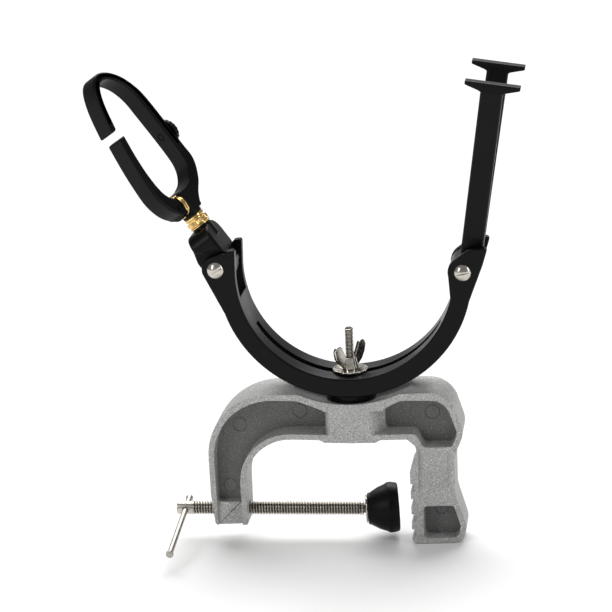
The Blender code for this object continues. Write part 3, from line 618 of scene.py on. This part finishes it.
# ---- clamp screw and pad ----
def build_clamp_screw():
    """The threaded feed screw with its plain head, journal and ball."""
    pitch = settings("fasteners").feed_pitch
    tail, head_end, thread_end = -0.170, -0.1576, -0.0372
    major, minor, head = 0.0050, 0.0040, 0.0048
    journal, ball_x, ball = 0.0034, BALL_PLACE[0], 0.0045
    thread = threaded("feed_screw", major, minor, pitch, head_end - 0.0006, thread_end,
                      SCREW_AXIS)
    knob = [(0, tail), (head - 0.0009, tail), (head - 0.0003, tail + 0.0003),
            (head, tail + 0.0010), (head, head_end - 0.0006), (head - 0.0003, head_end),
            (0, head_end)]
    end = turned("screw_head", knob, SCREW_AXIS)
    hole = rod("bar_hole", 0.0023, -0.02, 0.02, bar_frame(), 32)
    combine(end, hole)
    soften(end, 0.0002, 2)
    nose = [(0, thread_end - 0.0005), (journal, thread_end - 0.0005), (journal, -0.0325),
            (0.0022, -0.0325), (0.0022, ball_x - 0.0045)]
    nose += [(ball * math.sin(math.radians(a)), ball_x + ball * math.cos(math.radians(a)))
             for a in range(150, 0, -10)]
    nose += [(0, ball_x + ball)]
    tip = turned("screw_tip", nose, SCREW_AXIS)
    join(thread, [end, tip])
    polish(thread, 25.0)
    hand_over(thread, "screw", "spindle", "bright_nickel", "clamp_screw")


def bar_frame():
    """The tommy bar's frame: its Z runs along the bar through the screw's head."""
    head_middle = -0.1638
    return axis_frame((head_middle, 0, SCREW_AXIS.translation.z), JOINTS["tommy_bar_slide"]["axis"],
                      (1, 0, 0))


def build_tommy_bar():
    """The sliding bar in the screw's head, upset at both ends."""
    radius, front, back, end = 0.0020, 0.070, -0.0155, 0.0027
    profile = [(0, front)] + arc((end - 0.0008, front - 0.0008), 0.0008, 90, 0, 22.5)
    profile += [(end, front - 0.0016), (end - 0.0003, front - 0.0024), (radius, front - 0.0038)]
    profile += [(radius, back + 0.0038), (end - 0.0003, back + 0.0024), (end, back + 0.0016)]
    profile += arc((end - 0.0008, back + 0.0008), 0.0008, 0, -90, 22.5) + [(0, back)]
    bar = turned("sliding_bar", profile, bar_frame(), 40)
    polish(bar)
    hand_over(bar, "satin", "bar", "bright_nickel", "tommy_bar")


def build_pad():
    """The rubber pad, the steel cup behind it and the thrust washer on the screw's journal."""
    start, flare, face = (x - BALL_PLACE[0] for x in (-0.0326, -0.0185, -0.0105))
    small, large, socket = 0.011, 0.018, 0.0051
    profile = [(0, face), (0.006, face)]
    profile += arc((large - 0.0022, face - 0.0016), 0.0016, 90, 20, 14)
    profile += [(large - 0.0003, face - 0.0030), (large, face - 0.0044), (large, flare + 0.0010),
                (large - 0.0004, flare), (large - 0.0013, flare - 0.0014),
                (small + 0.0040, start + 0.0081), (small + 0.0013, start + 0.0034)]
    profile += arc((small - 0.0012, start + 0.0016), 0.0016, 12, -90, 17)
    profile += [(socket, start), (socket, 0.0030), (socket - 0.0016, 0.0052), (0, 0.0052)]
    pad = turned("rubber_pad", profile, BALL, 96)
    polish(pad, 30.0)
    hand_over(pad, "rubber", "pad", "black_rubber", "clamp_pad")
    back, front = start - 0.0015, start - GAP
    cup = ring_turned("steel_cup", [(0.0054, front), (0.0097, front), (0.0100, front - 0.0003),
                                    (0.0100, back + 0.0005), (0.0095, back), (0.0054, back)],
                      BALL, 72)
    soften(cup, 0.0002, 2)
    polish(cup)
    hand_over(cup, "nickel", "pad", "bright_nickel", "pad_cup")
    low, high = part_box("pad_washer")
    washer = ring_turned("thrust_washer", [(0.0037, high.x), (0.0052, high.x), (0.0052, low.x),
                                           (0.0037, low.x)], SCREW_AXIS, 48)
    soften(washer, 0.00015, 2)
    polish(washer)
    hand_over(washer, "nickel", "spindle_carrier", "bright_nickel", "pad_washer")


# ---- cradle ----
def moulded_copy(name, node, body, width=None, segments=3, degrees=32.0):
    """A packed moulding with its edges rounded."""
    piece = packed_copy(name, node)
    soften(piece, width or settings("plastic").edge, segments, degrees, clamp=False)
    polish(piece)
    hand_over(piece, "nylon", body, "black_nylon", node)


def build_arch():
    """The slotted, arched cradle and the swivel seat under it."""
    inside, outside, web, half, channel_half = 0.075, 0.088, 0.079, 0.020, 0.0132
    left = tuple(a - b for a, b in zip(LEFT_HINGE.translation.xz, ARCH.translation.xz))
    right = tuple(a - b for a, b in zip(RIGHT_HINGE.translation.xz, ARCH.translation.xz))
    outline = arc((0, 0), inside, 180, 346, 3) + arc(right, 0.0103, 195, 130, 10)
    outline += [(0.0853, 0.0164), (0.0965, 0.0178), (0.0988, 0.0165), (0.0955, 0.0057)]
    outline += arc((0, 0), outside, 347, 198, 3) + arc(left, 0.0097, 195, 118, 10)
    outline += [(-0.0841, 0.0158), (-0.0812, 0.0150), (-0.0802, 0.0174), (-0.0757, 0.0182),
                (-0.0746, 0.0168)]
    arch = plate("arched_cradle", outline, -half, half, ARCH)
    soften(arch, 0.0013, 4, 60.0, clamp=False)
    start, end, mouth = 193.0, 347.0, 0.060
    channel = arc((0, 0), web, start, end, 3) + arc((0, 0), mouth, end, end)
    channel += [(mouth, 0.04), (0.12, 0.04), (0.12, -0.12), (-0.12, -0.12), (-0.12, 0.04),
                (-mouth, 0.04)] + arc((0, 0), mouth, start, start)
    combine(arch, plate("channel", channel, -channel_half, channel_half, ARCH))
    slot = arc((0, 0), inside - 0.006, 211, 329, 3) + arc((0, 0), web + 0.006, 329, 211, 3)
    combine(arch, plate("slot", slot, -0.0041, 0.0041, ARCH))
    for hinge in (LEFT_HINGE, RIGHT_HINGE):
        combine(arch, rod("hole", 0.0033, -0.03, 0.03, hinge @ FRONT, 40))
    flatten(arch, 0.3)
    soften(arch, 0.0004, 2, 40.0, clamp=False)
    polish(arch)
    hand_over(arch, "nylon", "cradle", "black_nylon", "cradle_arch")
    moulded_copy("swivel_saddle", "swivel_seat", "seat", 0.0008, 3)


def build_bolt():
    """The threaded cradle bolt and the broad washer under its nut."""
    pitch = settings("fasteners").bolt_pitch
    low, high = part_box("cradle_bolt")
    head_top = 0.0579
    thread_start = 0.094
    radius, root = 0.0030, 0.0024
    bolt = threaded("cradle_stud", radius, root, pitch, thread_start, high.z - 0.0006, BOLT, 24)
    cap = turned("stud_point", [(0, high.z - 0.0006), (root + 0.0002, high.z - 0.0006),
                                (root - 0.0004, high.z), (0, high.z)], BOLT, 40)
    shank = turned("stud_shank", [(0, thread_start), (radius - 0.0003, thread_start),
                                  (radius, thread_start - 0.0003), (radius, head_top - 0.0010),
                                  (0, head_top - 0.0010)], BOLT, 40)
    head = rod("stud_head", 0.0057, low.z, head_top, BOLT, 6)
    soften(head, 0.0003, 2)
    join(bolt, [cap, shank, head])
    polish(bolt, 28.0)
    hand_over(bolt, "stud", "clamp", "bright_nickel", "cradle_bolt")
    low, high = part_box("cradle_washer")
    bore, rim = 0.0033, 0.0125
    washer = ring_turned("broad_washer", [(bore, high.z), (rim, high.z), (rim, low.z),
                                          (bore, low.z)], BOLT, 80)
    soften(washer, 0.0003, 3)
    polish(washer)
    hand_over(washer, "nickel", "nut_carrier", "bright_nickel", "cradle_washer")


def build_wing_nut():
    """The wing nut: a turned hub and two cast wings with rounded tips."""
    base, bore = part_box("wing_nut")[0].z, 0.0033
    top = base + 0.0078
    where = BOLT @ turned_frame(WING_TURN, 'Z')
    hub = ring_turned("wing_nut_hub", [(bore, top), (0.0040, top), (0.0046, top - 0.0005),
                                       (0.0055, base + 0.0016), (0.0058, base + 0.0008),
                                       (0.0058, base), (bore, base)], where, 48)
    for side in (-1, 1):
        tip = (side * 0.0118, base + 0.0138)
        wing = [(side * 0.0036, base + 0.0008), (side * 0.0036, base + 0.0070),
                (side * 0.0058, base + 0.0108)]
        wing += arc(tip, 0.0041, 150 if side > 0 else 30, -20 if side > 0 else 200, 14)
        wing += [(side * 0.0148, base + 0.0090), (side * 0.0118, base + 0.0042),
                 (side * 0.0078, base + 0.0008)]
        blade = plate("wing", wing, -0.0012, 0.0012, where)
        soften(blade, 0.0007, 3)
        combine(hub, blade, 'UNION')
    soften(hub, 0.00025, 2, 30.0)
    polish(hub, 50.0)
    hand_over(hub, "nickel", "nut", "bright_nickel", "wing_nut")


def build_hinge_fasteners():
    """The two-part binding screws, with slotted, domed heads on both sides."""
    face, crown_rise, head, shank = 0.0203, 0.0024, 0.0058, 0.0030
    sphere = (head ** 2 + crown_rise ** 2) / (2 * crown_rise)
    edge = math.degrees(math.asin(head / sphere))
    centre = face + crown_rise - sphere
    dome = [(sphere * math.sin(math.radians(a)), centre + sphere * math.cos(math.radians(a)))
            for a in (edge * i / 8 for i in range(9))]
    dome[0] = (0, face + crown_rise)
    for side, hinge in (("left", LEFT_HINGE), ("right", RIGHT_HINGE)):
        front = hinge @ turned_frame(90, 'X')
        back = hinge @ turned_frame(-90, 'X')
        screw = turned(f"{side}_binding_screw", dome + [(0.0019, face), (0.0019, -0.010),
                                                        (0, -0.010)], front, 64)
        slot = [(-0.008, face + 0.0009), (0.008, face + 0.0009), (0.008, face + 0.01),
                (-0.008, face + 0.01)]
        turn = turned_frame(SLOT_TURNS[side], 'Z')
        combine(screw, plate("slot", slot, -0.0007, 0.0007, front @ turn))
        soften(screw, 0.00018, 2, 30.0)
        polish(screw, 30.0)
        hand_over(screw, "nickel", "cradle", "bright_nickel", f"{side}_hinge_screw")
        barrel = turned(f"{side}_binding_barrel",
                        dome + [(shank, face), (shank, -0.018), (0.0022, -0.018),
                                (0.0022, 0.0105), (0, 0.0105)], back, 64)
        combine(barrel, plate("slot", slot, -0.0006, 0.0006, back))
        soften(barrel, 0.00018, 2, 30.0)
        polish(barrel, 30.0)
        hand_over(barrel, "nickel", "cradle", "bright_nickel",
                  f"{side}_hinge_barrel")


# ---- rest and ring ----
def build_rest():
    """The folding two-prong rest with its crossbars."""
    moulded_copy("two_prong_rest", "rest_fork", "fork", 0.0006, 2)


def build_yoke():
    """The folding yoke that carries the ring's stem."""
    moulded_copy("ring_arm", "ring_yoke", "yoke", 0.0009, 3)


def ridged(name, radius, depth, low, high, count, where):
    """A band with straight ridges round it."""
    band = rod(name, radius, low, high, Matrix.Identity(4), count * 2)
    edit(band)
    bpy.ops.mesh.select_mode(type='VERT')
    bpy.ops.mesh.select_all(action='DESELECT')
    bpy.ops.object.mode_set(mode='OBJECT')
    for vertex in band.data.vertices:
        angle = math.atan2(vertex.co.y, vertex.co.x) / math.tau * count * 2
        vertex.select = round(angle) % 2 == 1
    bpy.ops.object.mode_set(mode='EDIT')
    shrink = 1 - depth / radius
    bpy.ops.transform.resize(value=(shrink, shrink, 1.0))
    put_down()
    place(band, where)
    return band


def build_stem():
    """The brass bushing under the ring, banded and knurled, and the pin through it."""
    top, low = 0.0043, -0.0043
    bore = 0.0033
    bushing = ring_turned("knurled_bushing", [
        (bore, top), (0.0070, top), (0.0075, top - 0.0004), (0.0075, top - 0.0018),
        (0.0070, top - 0.0022), (0.0064, top - 0.0024), (0.0064, top - 0.0034),
        (0.0076, top - 0.0037), (0.0076, low + 0.0021), (0.0068, low + 0.0019),
        (0.0068, low + 0.0015), (0.0077, low + 0.0012), (0.0080, low + 0.0009),
        (0.0080, low + 0.0003), (0.0077, low), (bore, low)], STEM, 72)
    band = ridged("knurl", 0.0082, 0.0005, low + 0.0021, top - 0.0037,
                  settings("fasteners").knurls, STEM)
    soften(band, 0.00025, 2, 60.0)
    inside = rod("knurl_bore", 0.0070, low, top, STEM, 48)
    combine(band, inside)
    join(bushing, [band])
    polish(bushing, 30.0)
    hand_over(bushing, "brass", "yoke", "brass", "stem_bushing")
    radius, pin_low, pin_top = 0.0030, -0.013, 0.0110
    pin = turned("ring_stem_pin", [(0, pin_top), (radius - 0.0005, pin_top),
                                   (radius, pin_top - 0.0005), (radius, pin_low + 0.0005),
                                   (radius - 0.0005, pin_low), (0, pin_low)], STEM, 40)
    polish(pin)
    hand_over(pin, "nickel", "yoke", "bright_nickel", "stem_pin")


def smooth(points, spans=4):
    """Points along a soft curve that passes through the given ones."""
    ends = [points[0]] + points + [points[-1]]
    curve = []
    for four in zip(ends, ends[1:], ends[2:], ends[3:]):
        a, b, c, d = (Vector(point) for point in four)
        for i in range(spans):
            t = i / spans
            curve.append((2 * b + (c - a) * t + (2 * a - 5 * b + 4 * c - d) * t * t
                          + (3 * b - a - 3 * c + d) * t ** 3) / 2)
    curve.append(Vector(points[-1]))
    return curve


def ribbon(middle, half):
    """The outline of a strip of even width along a line of points."""
    left, right = [], []
    for index, here in enumerate(middle):
        back = middle[max(index - 1, 0)]
        ahead = middle[min(index + 1, len(middle) - 1)]
        along = (ahead - back).normalized()
        across = Vector((-along.y, along.x)) * half
        left.append(tuple(here + across))
        right.append(tuple(here - across))
    return left + right[::-1]


def build_hook():
    """The ring's fixed hook, with a groove moulded into each side face."""
    own = settings("plastic")
    half, floor, hub_face = RING_HALF, RING_HALF - own.groove_depth, -0.0048
    outer = smooth([(0.0075, 0.0090), (0.0120, 0.0145), (0.0205, 0.0220), (0.0278, 0.0340),
                    (0.0283, 0.0480), (0.0283, 0.0850), (0.0262, 0.0990), (0.0205, 0.1110),
                    (0.0120, 0.1190), (0.0030, 0.1214), (-0.0050, 0.1165), (-0.0125, 0.1030),
                    (-0.0188, 0.0835)], 6)
    inner = smooth([(-0.0136, 0.0835), (-0.0078, 0.1010), (-0.0020, 0.1115), (0.0040, 0.1155),
                    (0.0110, 0.1135), (0.0175, 0.1060), (0.0212, 0.0950), (0.0218, 0.0820),
                    (0.0218, 0.0480), (0.0195, 0.0350), (0.0130, 0.0270), (0.0050, 0.0240)], 6)
    hub = [(hub_face, 0.0235), (hub_face, 0.0065), (0.0070, 0.0065)]
    hook = plate("ring_hook_moulding", outer + inner + hub, -half, half, RING)
    soften(hook, own.ring_edge, 4, 50.0, clamp=False)
    combine(hook, rod("neck", 0.0074, 0.0046, 0.0103, RING), 'UNION')
    facing = [(-0.012, 0.0062), (hub_face, 0.0062), (hub_face, 0.030), (-0.012, 0.030)]
    combine(hook, plate("facing", facing, -0.02, 0.02, RING))
    combine(hook, rod("stem_hole", 0.0033, -0.01, 0.0113, RING, 32))
    combine(hook, rod("pin_hole", 0.0023, -0.02, 0.02, PIVOT, 32))
    combine(hook, rod("spot_face", 0.0045, 0.0095, 0.02, PIVOT, 32))
    combine(hook, rod("knob_hole", 0.0027, 0.015, 0.035, KNOB, 32))
    middle = smooth([(0.0250, 0.0490), (0.0250, 0.0840), (0.0237, 0.0970), (0.0190, 0.1085),
                     (0.0115, 0.1163), (0.0035, 0.1185), (-0.0035, 0.1140), (-0.0101, 0.1020),
                     (-0.0148, 0.0890)])
    for low, high in ((-half - 0.002, -floor), (floor, half + 0.002)):
        combine(hook, plate("groove", ribbon(middle, own.groove_half), low, high, RING))
    soften(hook, 0.0002, 2, 40.0)
    polish(hook)
    hand_over(hook, "nylon", "ring", "black_nylon", "ring_hook")


def build_gate():
    """The ring's hinged gate, with the round boss that turns on the pivot."""
    moulded_copy("ring_gate_moulding", "ring_gate", "gate", 0.0009, 3)


def build_gate_pivot():
    """The banded brass bushing the gate turns on, and its pin."""
    far, near, bore, rim = -0.0051, -0.0086, 0.0023, 0.0085
    middle = (far + near) / 2
    bushing = ring_turned("gate_collar", [
        (bore, far), (rim - 0.0004, far), (rim, far - 0.0004), (rim, middle + 0.0007),
        (rim - 0.0003, middle + 0.0004), (rim - 0.0009, middle + 0.0002),
        (rim - 0.0009, middle - 0.0002), (rim - 0.0003, middle - 0.0004),
        (rim, middle - 0.0007), (rim, near + 0.0004), (rim - 0.0004, near), (bore, near)],
        PIVOT, 80)
    polish(bushing, 30.0)
    hand_over(bushing, "brass", "ring", "brass", "gate_bushing")
    head, crown, radius, tail = 0.0098, 0.0122, 0.0020, -0.0115
    pin = turned("gate_pivot_pin", [(0, crown), (0.0022, crown), (0.0033, crown - 0.0003),
                                    (0.0039, crown - 0.0010), (0.0040, crown - 0.0016),
                                    (0.0040, head), (radius, head), (radius, tail + 0.0003),
                                    (radius - 0.0003, tail), (0, tail)], PIVOT, 48)
    combine(pin, rod("socket", 0.0014, crown - 0.0012, crown + 0.01, PIVOT, 6))
    soften(pin, 0.00015, 2, 30.0)
    polish(pin, 30.0)
    hand_over(pin, "nickel", "ring", "bright_nickel", "gate_pin")


def build_thumb_screw():
    """The ring's thumb screw: a grooved knob, its screw and the soft tip that presses."""
    face, rim, shank = 0.0320, 0.0095, 0.0024
    under = face - 0.0034
    knob = ridged("grooved_knob", rim, 0.0006, under, face, 18, KNOB)
    soften(knob, 0.0009, 3, 30.0)
    combine(knob, rod("knob_bore", shank + GAP, under - 0.01, face - 0.0012, KNOB, 32))
    polish(knob, 35.0)
    hand_over(knob, "nylon", "knob", "black_nylon", "thumb_knob")
    screw = threaded("knob_stud", shank, shank - 0.0004, 0.0008, 0.0245, face - 0.0015, KNOB, 20)
    polish(screw, 28.0)
    hand_over(screw, "thread", "knob", "bright_nickel", "knob_screw")
    tip = turned("soft_tip", [(0, 0.0242), (shank, 0.0242), (shank, 0.0227),
                              (shank - 0.0002, 0.0222), (shank - 0.0007, 0.0219), (0, 0.0219)],
                 KNOB, 40)
    polish(tip, 30.0)
    hand_over(tip, "nylon", "tip_carrier", "black_nylon", "pressure_tip")


# ---- studio ----
def soft_light(name, where, target, size, power):
    put_down()
    bpy.ops.object.light_add(type='AREA', location=where)
    light = bpy.context.active_object
    light.name = name
    light.data.shape = 'RECTANGLE'
    light.data.size, light.data.size_y = size
    light.data.energy = power
    light.rotation_euler = (Vector(target) - Vector(where)).to_track_quat('-Z', 'Y').to_euler()


def build_studio():
    """Floor, soft lights, plain surroundings and the camera."""
    own = settings("studio")
    ground = CAD_BOX[0].z - 0.0002
    put_down()
    bpy.ops.mesh.primitive_plane_add(size=40.0, location=(0, 0, ground))
    floor = name_piece("studio_floor")
    finish = Finish("studio_floor", tuple(own.floor), 0.85, specular=0.1)
    tint = finish.noise(3.0, detail=2.0)
    finish.link(finish.ramp(tint, [(0.3, tuple(own.floor)), (0.7, (0.95, 0.95, 0.95))]),
                finish.shader.inputs["Base Color"])
    floor.data.materials.append(finish.material)

    world = bpy.data.worlds.new("studio_surroundings")
    bpy.context.scene.world = world
    world.use_nodes = True
    surroundings = world.node_tree.nodes["Background"]
    surroundings.inputs["Color"].default_value = (1.0, 1.0, 1.0, 1.0)
    surroundings.inputs["Strength"].default_value = 0.30

    middle = Vector((-0.0714, 0.0078, 0.1435))
    put_down()
    bpy.ops.object.light_add(type='SUN', location=(0, 0, 2), rotation=(-0.62, -0.12, 0))
    sun = bpy.context.active_object
    sun.name = "overhead_light"
    sun.data.angle = math.radians(60)
    sun.data.energy = 3.1
    soft_light("left_light", (-1.0, -1.2, 0.9), middle, (0.22, 0.9), 6.0)
    soft_light("right_light", (1.2, -0.6, 0.7), middle, (0.18, 0.9), 4.0)

    sight = (turned_frame(math.degrees(own.azimuth), 'Z')
             @ turned_frame(90 - math.degrees(own.elevation), 'X')
             @ turned_frame(math.degrees(own.roll), 'Z'))
    put_down()
    bpy.ops.object.camera_add()
    camera = bpy.context.active_object
    camera.name = "studio_camera"
    back = sight.to_3x3() @ Vector((0, 0, own.distance))
    camera.matrix_world = Matrix.Translation(middle + back) @ sight
    camera.data.sensor_width = 36.0
    camera.data.lens = own.lens
    camera.data.clip_start, camera.data.clip_end = 0.05, 100.0
    bpy.context.scene.camera = camera
    bpy.context.scene.view_settings.view_transform = 'Standard'


# ---- operators and panel ----
class CRADLESTAND_OT_finishes(bpy.types.Operator):
    """Makes the stand's materials"""
    bl_idname = "cradle_stand.finishes"
    bl_label = "Mix Finishes"
    bl_options = {'REGISTER', 'UNDO'}

    def execute(self, context):
        mix_finishes()
        return {'FINISHED'}


class CRADLESTAND_OT_casting(bpy.types.Operator):
    """Builds the C-clamp's casting"""
    bl_idname = "cradle_stand.casting"
    bl_label = "Casting"
    bl_options = {'REGISTER', 'UNDO'}

    def execute(self, context):
        build_casting()
        return {'FINISHED'}


class CRADLESTAND_OT_clamp_screw(bpy.types.Operator):
    """Builds the threaded feed screw"""
    bl_idname = "cradle_stand.clamp_screw"
    bl_label = "Clamp Screw"
    bl_options = {'REGISTER', 'UNDO'}

    def execute(self, context):
        build_clamp_screw()
        return {'FINISHED'}


class CRADLESTAND_OT_tommy_bar(bpy.types.Operator):
    """Builds the sliding bar in the screw's head"""
    bl_idname = "cradle_stand.tommy_bar"
    bl_label = "Tommy Bar"
    bl_options = {'REGISTER', 'UNDO'}

    def execute(self, context):
        build_tommy_bar()
        return {'FINISHED'}


class CRADLESTAND_OT_pad(bpy.types.Operator):
    """Builds the rubber pad, its steel cup and the thrust washer"""
    bl_idname = "cradle_stand.pad"
    bl_label = "Pad"
    bl_options = {'REGISTER', 'UNDO'}

    def execute(self, context):
        build_pad()
        return {'FINISHED'}


class CRADLESTAND_OT_arch(bpy.types.Operator):
    """Builds the arched cradle and the swivel seat under it"""
    bl_idname = "cradle_stand.arch"
    bl_label = "Arched Cradle"
    bl_options = {'REGISTER', 'UNDO'}

    def execute(self, context):
        build_arch()
        return {'FINISHED'}


class CRADLESTAND_OT_bolt(bpy.types.Operator):
    """Builds the cradle bolt and its broad washer"""
    bl_idname = "cradle_stand.bolt"
    bl_label = "Cradle Bolt"
    bl_options = {'REGISTER', 'UNDO'}

    def execute(self, context):
        build_bolt()
        return {'FINISHED'}


class CRADLESTAND_OT_wing_nut(bpy.types.Operator):
    """Builds the wing nut on the cradle bolt"""
    bl_idname = "cradle_stand.wing_nut"
    bl_label = "Wing Nut"
    bl_options = {'REGISTER', 'UNDO'}

    def execute(self, context):
        build_wing_nut()
        return {'FINISHED'}


class CRADLESTAND_OT_hinges(bpy.types.Operator):
    """Builds the binding screws at both ends of the arch"""
    bl_idname = "cradle_stand.hinges"
    bl_label = "Hinge Screws"
    bl_options = {'REGISTER', 'UNDO'}

    def execute(self, context):
        build_hinge_fasteners()
        return {'FINISHED'}


class CRADLESTAND_OT_rest(bpy.types.Operator):
    """Builds the folding two-prong rest"""
    bl_idname = "cradle_stand.rest"
    bl_label = "Two-prong Rest"
    bl_options = {'REGISTER', 'UNDO'}

    def execute(self, context):
        build_rest()
        return {'FINISHED'}


class CRADLESTAND_OT_yoke(bpy.types.Operator):
    """Builds the folding yoke that carries the ring"""
    bl_idname = "cradle_stand.yoke"
    bl_label = "Ring Yoke"
    bl_options = {'REGISTER', 'UNDO'}

    def execute(self, context):
        build_yoke()
        return {'FINISHED'}


class CRADLESTAND_OT_stem(bpy.types.Operator):
    """Builds the knurled brass bushing and the pin through it"""
    bl_idname = "cradle_stand.stem"
    bl_label = "Ring Stem"
    bl_options = {'REGISTER', 'UNDO'}

    def execute(self, context):
        build_stem()
        return {'FINISHED'}


class CRADLESTAND_OT_hook(bpy.types.Operator):
    """Builds the ring's fixed hook"""
    bl_idname = "cradle_stand.hook"
    bl_label = "Ring Hook"
    bl_options = {'REGISTER', 'UNDO'}

    def execute(self, context):
        build_hook()
        return {'FINISHED'}


class CRADLESTAND_OT_gate(bpy.types.Operator):
    """Builds the ring's hinged gate"""
    bl_idname = "cradle_stand.gate"
    bl_label = "Ring Gate"
    bl_options = {'REGISTER', 'UNDO'}

    def execute(self, context):
        build_gate()
        return {'FINISHED'}


class CRADLESTAND_OT_gate_pivot(bpy.types.Operator):
    """Builds the brass collar and the pin the gate turns on"""
    bl_idname = "cradle_stand.gate_pivot"
    bl_label = "Gate Pivot"
    bl_options = {'REGISTER', 'UNDO'}

    def execute(self, context):
        build_gate_pivot()
        return {'FINISHED'}


class CRADLESTAND_OT_thumb_screw(bpy.types.Operator):
    """Builds the ring's thumb screw and its soft tip"""
    bl_idname = "cradle_stand.thumb_screw"
    bl_label = "Thumb Screw"
    bl_options = {'REGISTER', 'UNDO'}

    def execute(self, context):
        build_thumb_screw()
        return {'FINISHED'}


class CRADLESTAND_OT_studio(bpy.types.Operator):
    """Builds the floor, the lights and the camera"""
    bl_idname = "cradle_stand.studio"
    bl_label = "Studio"
    bl_options = {'REGISTER', 'UNDO'}

    def execute(self, context):
        build_studio()
        return {'FINISHED'}


OPERATORS = (
    CRADLESTAND_OT_finishes, CRADLESTAND_OT_casting, CRADLESTAND_OT_clamp_screw,
    CRADLESTAND_OT_tommy_bar, CRADLESTAND_OT_pad, CRADLESTAND_OT_arch, CRADLESTAND_OT_bolt,
    CRADLESTAND_OT_wing_nut, CRADLESTAND_OT_hinges, CRADLESTAND_OT_rest, CRADLESTAND_OT_yoke,
    CRADLESTAND_OT_stem, CRADLESTAND_OT_hook, CRADLESTAND_OT_gate, CRADLESTAND_OT_gate_pivot,
    CRADLESTAND_OT_thumb_screw, CRADLESTAND_OT_studio)


class CRADLESTAND_PT_panel(bpy.types.Panel):
    """Lists the stand's pieces in the 3D view's sidebar."""
    bl_label = "Cradle Stand"
    bl_idname = "CRADLESTAND_PT_panel"
    bl_space_type = 'VIEW_3D'
    bl_region_type = 'UI'
    bl_category = "Cradle Stand"

    def draw(self, context):
        for operator in OPERATORS:
            self.layout.operator(operator.bl_idname)


GROUPS = {"casting": CastingSettings, "plastic": PlasticSettings,
          "fasteners": FastenerSettings, "studio": StudioSettings}


def register():
    for name, group in GROUPS.items():
        bpy.utils.register_class(group)
        setattr(bpy.types.Scene, f"cradle_stand_{name}", PointerProperty(type=group))
    for operator in OPERATORS:
        bpy.utils.register_class(operator)
    bpy.utils.register_class(CRADLESTAND_PT_panel)


def unregister():
    bpy.utils.unregister_class(CRADLESTAND_PT_panel)
    for operator in reversed(OPERATORS):
        bpy.utils.unregister_class(operator)
    for name, group in GROUPS.items():
        delattr(bpy.types.Scene, f"cradle_stand_{name}")
        bpy.utils.unregister_class(group)


def main():
    register()
    for operator in OPERATORS:
        getattr(bpy.ops.cradle_stand, operator.bl_idname.split(".")[1])()
    put_down()


if __name__ == "__main__":
    main()
